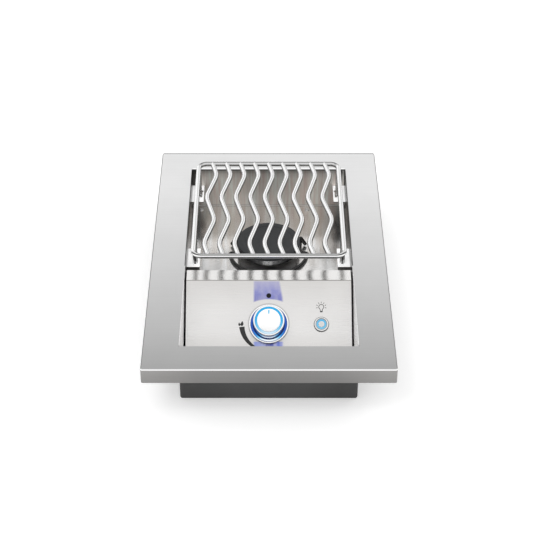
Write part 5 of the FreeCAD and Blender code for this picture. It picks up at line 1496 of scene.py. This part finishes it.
@dataclass
class Controls:
    """The sloping panel with its prints, the lit knob and the lit button."""

    bezel: tuple[Turned, ...] = (
        Turned("bezel_rim", "bezel_ring", "knob_chrome", "bezel chrome", (
            (8, 0), (29.5, 0), (29.5, 5.1), (29.35, 5.6), (29.0, 5.85), (27.5, 5.95), (27.15, 5.75),
            (26.95, 5.3), (26.9, 4.6), (26.9, 1), (8, 1)), 0.2),
        Turned("bezel_glow", "bezel_light_guide", "lit_guide", "bezel light", (
            (26, 2.2), (26.7, 2.2), (26.7, 4.5), (26.2, 4.95), (25.4, 5.2), (24.5, 5.05), (23.9, 4.7),
            (23.9, 3.4), (26, 3.4))))
    knob: tuple[Turned, ...] = (
        Turned("knob_shell", "knob_body", "knob_chrome", "knob chrome", (
            (20.4, 8), (22.3, 8), (22.6, 8.4), (22.7, 9.2), (23.2, 26.4), (23.22, 29.2), (23.1, 30.1),
            (22.8, 30.7), (22.4, 31.0), (21.1, 31.05), (20.7, 30.85), (20.45, 30.4), (20.45, 28.5), (0, 28.5),
            (0, 22), (4.05, 22), (4.05, 9), (7, 9), (7, 25.5), (20.4, 25.5)), 0.12, Body.KNOB, FINE_SIDES),
        Turned("knob_ring", "knob_light_ring", "lit_guide", "knob ring light", (
            (17.55, 28.5), (20.35, 28.5), (20.35, 30.8), (20.05, 31.4), (19.3, 31.75), (18.2, 31.85),
            (17.55, 31.5)), 0.1, Body.KNOB, FINE_SIDES))
    button: tuple[Turned, ...] = (
        Turned("button_rim", "light_button_housing", "knob_chrome", "button chrome", (
            (11.4, 0), (11.4, 1.6), (11.1, 2.3), (10.5, 2.8), (9.6, 3.0), (8.8, 2.8), (8.3, 2.3), (8.3, -3),
            (6.4, -3), (6.4, -14), (0, -14), (0, -16), (9.4, -16), (9.4, 0))),
        Turned("button_ring", "light_button_lens", "lit_guide", "button light", (
            (4.76, -3), (8.25, -3), (8.25, 2.0), (7.8, 2.5), (7.0, 2.68), (5.6, 2.7), (4.95, 2.5),
            (4.76, 2.2)), 0.08),
        Turned("button_cap", "light_button_cap", "knob_white", "button face", (
            (0, -6), (6, -6), (6, -3.3), (4.7, -3.3), (4.7, 2.4), (4.45, 2.85), (3.9, 3.1), (2, 3.25),
            (0, 3.3)), 0.08, Body.BUTTON))
    dome_foot: tuple[Point, ...] = ((0, 28.5), (17.45, 28.5), (17.45, 31.2), (17.2, 31.75), (16.5, 32.15))
    dome_radius: float = 15.5
    dome_steps: int = 8
    dome_curve: float = 16.5
    dome_edge: float = 32.25
    dome_rise: float = 0.95
    pointer_half: float = 0.9
    pointer_steps: int = 8
    pointer_ends: Point = (10.4, 14.6)
    pointer_out: float = 32.75
    pointer_rise: float = 0.3
    print_rise: float = 0.06
    flame_place: Point = (-41.0, 1.0)
    lamp_place: Point = (BUTTON_RIGHT / MM, 25.6)
    lamp_scale: float = 1.2

    @staticmethod
    def on_panel(across: float = 0.0, up: float = 0.0, out: float = 0.0) -> Matrix:
        """Give the place of a point on the slope, counted from the knob's axis in millimetres."""
        start = Matrix.Translation(KNOB_CENTRE) @ Matrix.Rotation(PANEL_TILT, 4, "X")
        return start @ Matrix.Translation((across * MM, up * MM, out * MM))

    def build(self) -> None:
        """Make the panel and everything on it."""
        smooth_copy("control_panel", "panel_sheet", "panel_steel", "panel steel")
        smooth_copy("panel_screw", "top_screw", "dark_screw", "black oxide")
        for part in self.bezel:
            part.build(self.on_panel())
        smooth_copy("bezel_led_board", "lamp_board", "circuit", "lamp board")
        radii = [self.dome_radius * (1 - step / self.dome_steps) for step in range(self.dome_steps)]
        dome = [(radius, self.dome_edge + self.dome_rise * (1 - (radius / self.dome_curve) ** 2))
                for radius in (*radii, 0)]
        face = Turned("knob_dome", "knob_face", "knob_white", "knob face", (*self.dome_foot, *dome), 0,
                      Body.KNOB, FINE_SIDES)
        for part in (*self.knob, face):
            part.build(self.on_panel())
        low, high = self.pointer_ends
        pointer = arc(self.pointer_half, 0, 180, self.pointer_steps, (0, high))
        pointer += arc(self.pointer_half, 180, 360, self.pointer_steps, (0, low))
        self.build_print("pointer_bar", [pointer], self.on_panel(out=self.pointer_out), self.pointer_rise,
                         "pointer ink", Body.KNOB, "knob_pointer")
        for part in self.button:
            part.build(self.on_panel(BUTTON_RIGHT / MM))
        symbols = Symbols()
        self.build_print("flow_band", [symbols.flow()], self.on_panel(), self.print_rise)
        place = self.on_panel(*self.flame_place)
        self.build_print("flame_symbol", symbols.flame(), place, self.print_rise)
        place = self.on_panel(*self.lamp_place) @ Matrix.Scale(self.lamp_scale, 4)
        self.build_print("lamp_symbol", symbols.lamp(), place, self.print_rise)

    @staticmethod
    def build_print(name: str, outlines: list[list[Point]], place: Matrix, rise: float,
                    finish: str = "printed ink", body: Body = Body.FIXED, *nodes: str) -> None:
        """Fill flat outlines, give them their thickness and put them in place.

        Args:
            name: Name of the piece.
            outlines: Outlines in millimetres.
            place: Where they lie.
            rise: Thickness in millimetres.
            finish: Ink.
            body: Body that it rides on.
            *nodes: Nodes that it replaces.
        """
        work = bmesh.new()
        for outline in outlines:
            work.faces.new([work.verts.new((x * MM, y * MM, 0)) for x, y in outline])
        bmesh.ops.triangulate(work, faces=work.faces)
        bmesh.ops.recalc_face_normals(work, faces=work.faces)
        for face in work.faces:
            if face.normal.z < 0:
                face.normal_flip()
        raised = bmesh.ops.extrude_face_region(work, geom=work.faces[:])
        moved = [item for item in raised["geom"] if isinstance(item, bmesh.types.BMVert)]
        bmesh.ops.translate(work, verts=moved, vec=(0, 0, rise * MM))
        bmesh.ops.recalc_face_normals(work, faces=work.faces)
        work.transform(place)
        mesh = bpy.data.meshes.new(name)
        work.to_mesh(mesh)
        work.free()
        settle(add_piece(name, mesh, finish), body, "pointer_ink", *nodes)


@dataclass
class HiddenParts:
    """Gas train, ignition and lights behind the panel and under the well."""

    stem_spring_ends: Point = (-18.3, -10.2)
    stem_travel: float = 4.0
    button_spring_ends: Point = (-13.9, -6.1)
    button_travel: float = 2.0

    def build(self) -> None:
        """Give every inner node its finish."""
        paint_nodes("brass", "orifice_spud", "inlet_flare_nut", "valve_plug", "valve_stem")
        paint_nodes("zinc plate", "panel_stay", "valve_bracket", "venturi_tube", "air_shutter",
                    "module_screws", "valve_screws")
        paint_nodes("die cast alloy", "valve_body", "valve_bonnet")
        paint_nodes("screw steel", "knob_clip", "inlet_tube")
        paint_nodes("silicone cover", "igniter_lead", "light_lead")
        paint_nodes("black plastic", "spark_module", "light_driver", "light_switch", "light_button_nut")
        coil = smooth_copy("stem_spring", "valve_coil", "spring_steel", "screw steel", body=Body.PLUG)
        self.squeeze(coil, "knob_push", 0.0, self.stem_spring_ends, self.stem_travel)
        coil = smooth_copy("light_button_spring", "button_coil", "spring_steel", "screw steel")
        self.squeeze(coil, "light_button_press", BUTTON_RIGHT, self.button_spring_ends, self.button_travel)

    @staticmethod
    def squeeze(coil: Piece, joint: str, across: float, ends: Point, travel: float) -> None:
        """Give a coil spring a mesh of its own.

        Args:
            coil: The spring.
            joint: Joint that squeezes it; not used.
            across: Place of its axis along X in metres; not used.
            ends: Heights of its ends over the panel in millimetres; not used.
            travel: Travel of the joint in millimetres; not used.
        """
        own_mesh(coil)


@dataclass
class Studio:
    """Floor, world, lamps and camera."""

    focal_pixels: float = 1477.0
    picture_pixels: float = 533.0
    sensor: float = 36.0
    down: float = 36.6
    camera_place: Place = (-3.4, -1826.8, 1424.4)
    view_end: float = 100.0
    floor_color: Color = (0.8, 0.8, 0.8)
    floor_roughness: float = 0.9
    floor_half: float = 6.0
    floor_drop: float = 0.0003
    floor_glow: float = 0.4
    diffuse_sky: float = 0.8
    lamps: tuple[tuple[str, Place, float, float], ...] = (
        ("key", (-0.9, -1.2, 1.9), 1.1, 16.0), ("fill", (1.3, 0.9, 1.7), 1.2, 8.0))

    def build(self) -> None:
        """Set up everything that isn't the object."""
        self.build_floor()
        self.build_world()
        for lamp in self.lamps:
            self.build_lamp(*lamp)
        self.build_camera()
        bpy.context.scene.view_settings.view_transform = "Standard"

    @staticmethod
    def seen(tree: Tree) -> Socket:
        """Give 1 for rays from the camera and from gloss or glass, and 0 for the rest.

        Args:
            tree: Tree that gets the nodes.

        Returns:
            The share.
        """
        path = tree.add("ShaderNodeLightPath").outputs
        gloss = tree.math("MAXIMUM", path["Is Glossy Ray"], path["Is Transmission Ray"])
        return tree.math("MAXIMUM", path["Is Camera Ray"], gloss)

    def build_floor(self) -> None:
        """Lay a pale floor that shows white to the camera and keeps the object's shadow."""
        tree = Surface("studio floor", {"Base Color": self.floor_color, "Roughness": self.floor_roughness,
                                        "Emission Color": WHITE})
        tree.fill(tree.shader, {"Emission Strength": tree.product(self.seen(tree), self.floor_glow)})
        PALETTE["studio floor"] = tree.material
        mesh = bpy.data.meshes.new("studio_floor")
        corners = [(x * self.floor_half, y * self.floor_half, -self.floor_drop)
                   for x, y in ((-1, -1), (1, -1), (1, 1), (-1, 1))]
        mesh.from_pydata(corners, [], [(0, 1, 2, 3)])
        add_piece("studio_floor", mesh, "studio floor")

    def build_world(self) -> None:
        """Light the object from all round, and show white to the camera and to gloss."""
        world = bpy.data.worlds.new("studio")
        bpy.context.scene.world = world
        world.use_nodes = True
        tree = Tree(world.node_tree)
        strength = tree.spread(self.seen(tree), (0.0, 1.0), self.diffuse_sky, 1.0)
        tree.fill(world.node_tree.nodes["Background"], {"Color": WHITE, "Strength": strength})

    @staticmethod
    def build_lamp(name: str, place: Place, size: float, power: float) -> None:
        """Hang one soft lamp that points at the object.

        Args:
            name: Name of the lamp.
            place: Where it hangs in metres.
            size: Side of its square in metres.
            power: Its power in watts.
        """
        data = bpy.data.lights.new(name, "AREA")
        data.size = size
        data.energy = power
        lamp = place_object(name, data)
        lamp.location = place
        lamp.rotation_euler = (-Vector(place)).to_track_quat("-Z", "Y").to_euler()
        lamp.visible_glossy = False

    def build_camera(self) -> None:
        """Stand the camera where the photograph was taken from."""
        data = bpy.data.cameras.new("camera")
        data.sensor_width = self.sensor
        data.lens = self.focal_pixels * self.sensor / self.picture_pixels
        data.clip_end = self.view_end
        camera = place_object("camera", data)
        camera.location = Vector(self.camera_place) * MM
        camera.rotation_euler = (math.radians(90 - self.down), 0, 0)
        bpy.context.scene.camera = camera


def main() -> None:
    """Build the scene in order."""
    logging.basicConfig(level=logging.INFO, format="%(message)s")
    build_palette()
    rods = RodShaper()
    Studio().build()
    Housing().build()
    Grate(rods, SpotShaper()).build()
    Burner(rods).build()
    Controls().build()
    HiddenParts().build()


if __name__ == "__main__":
    main()
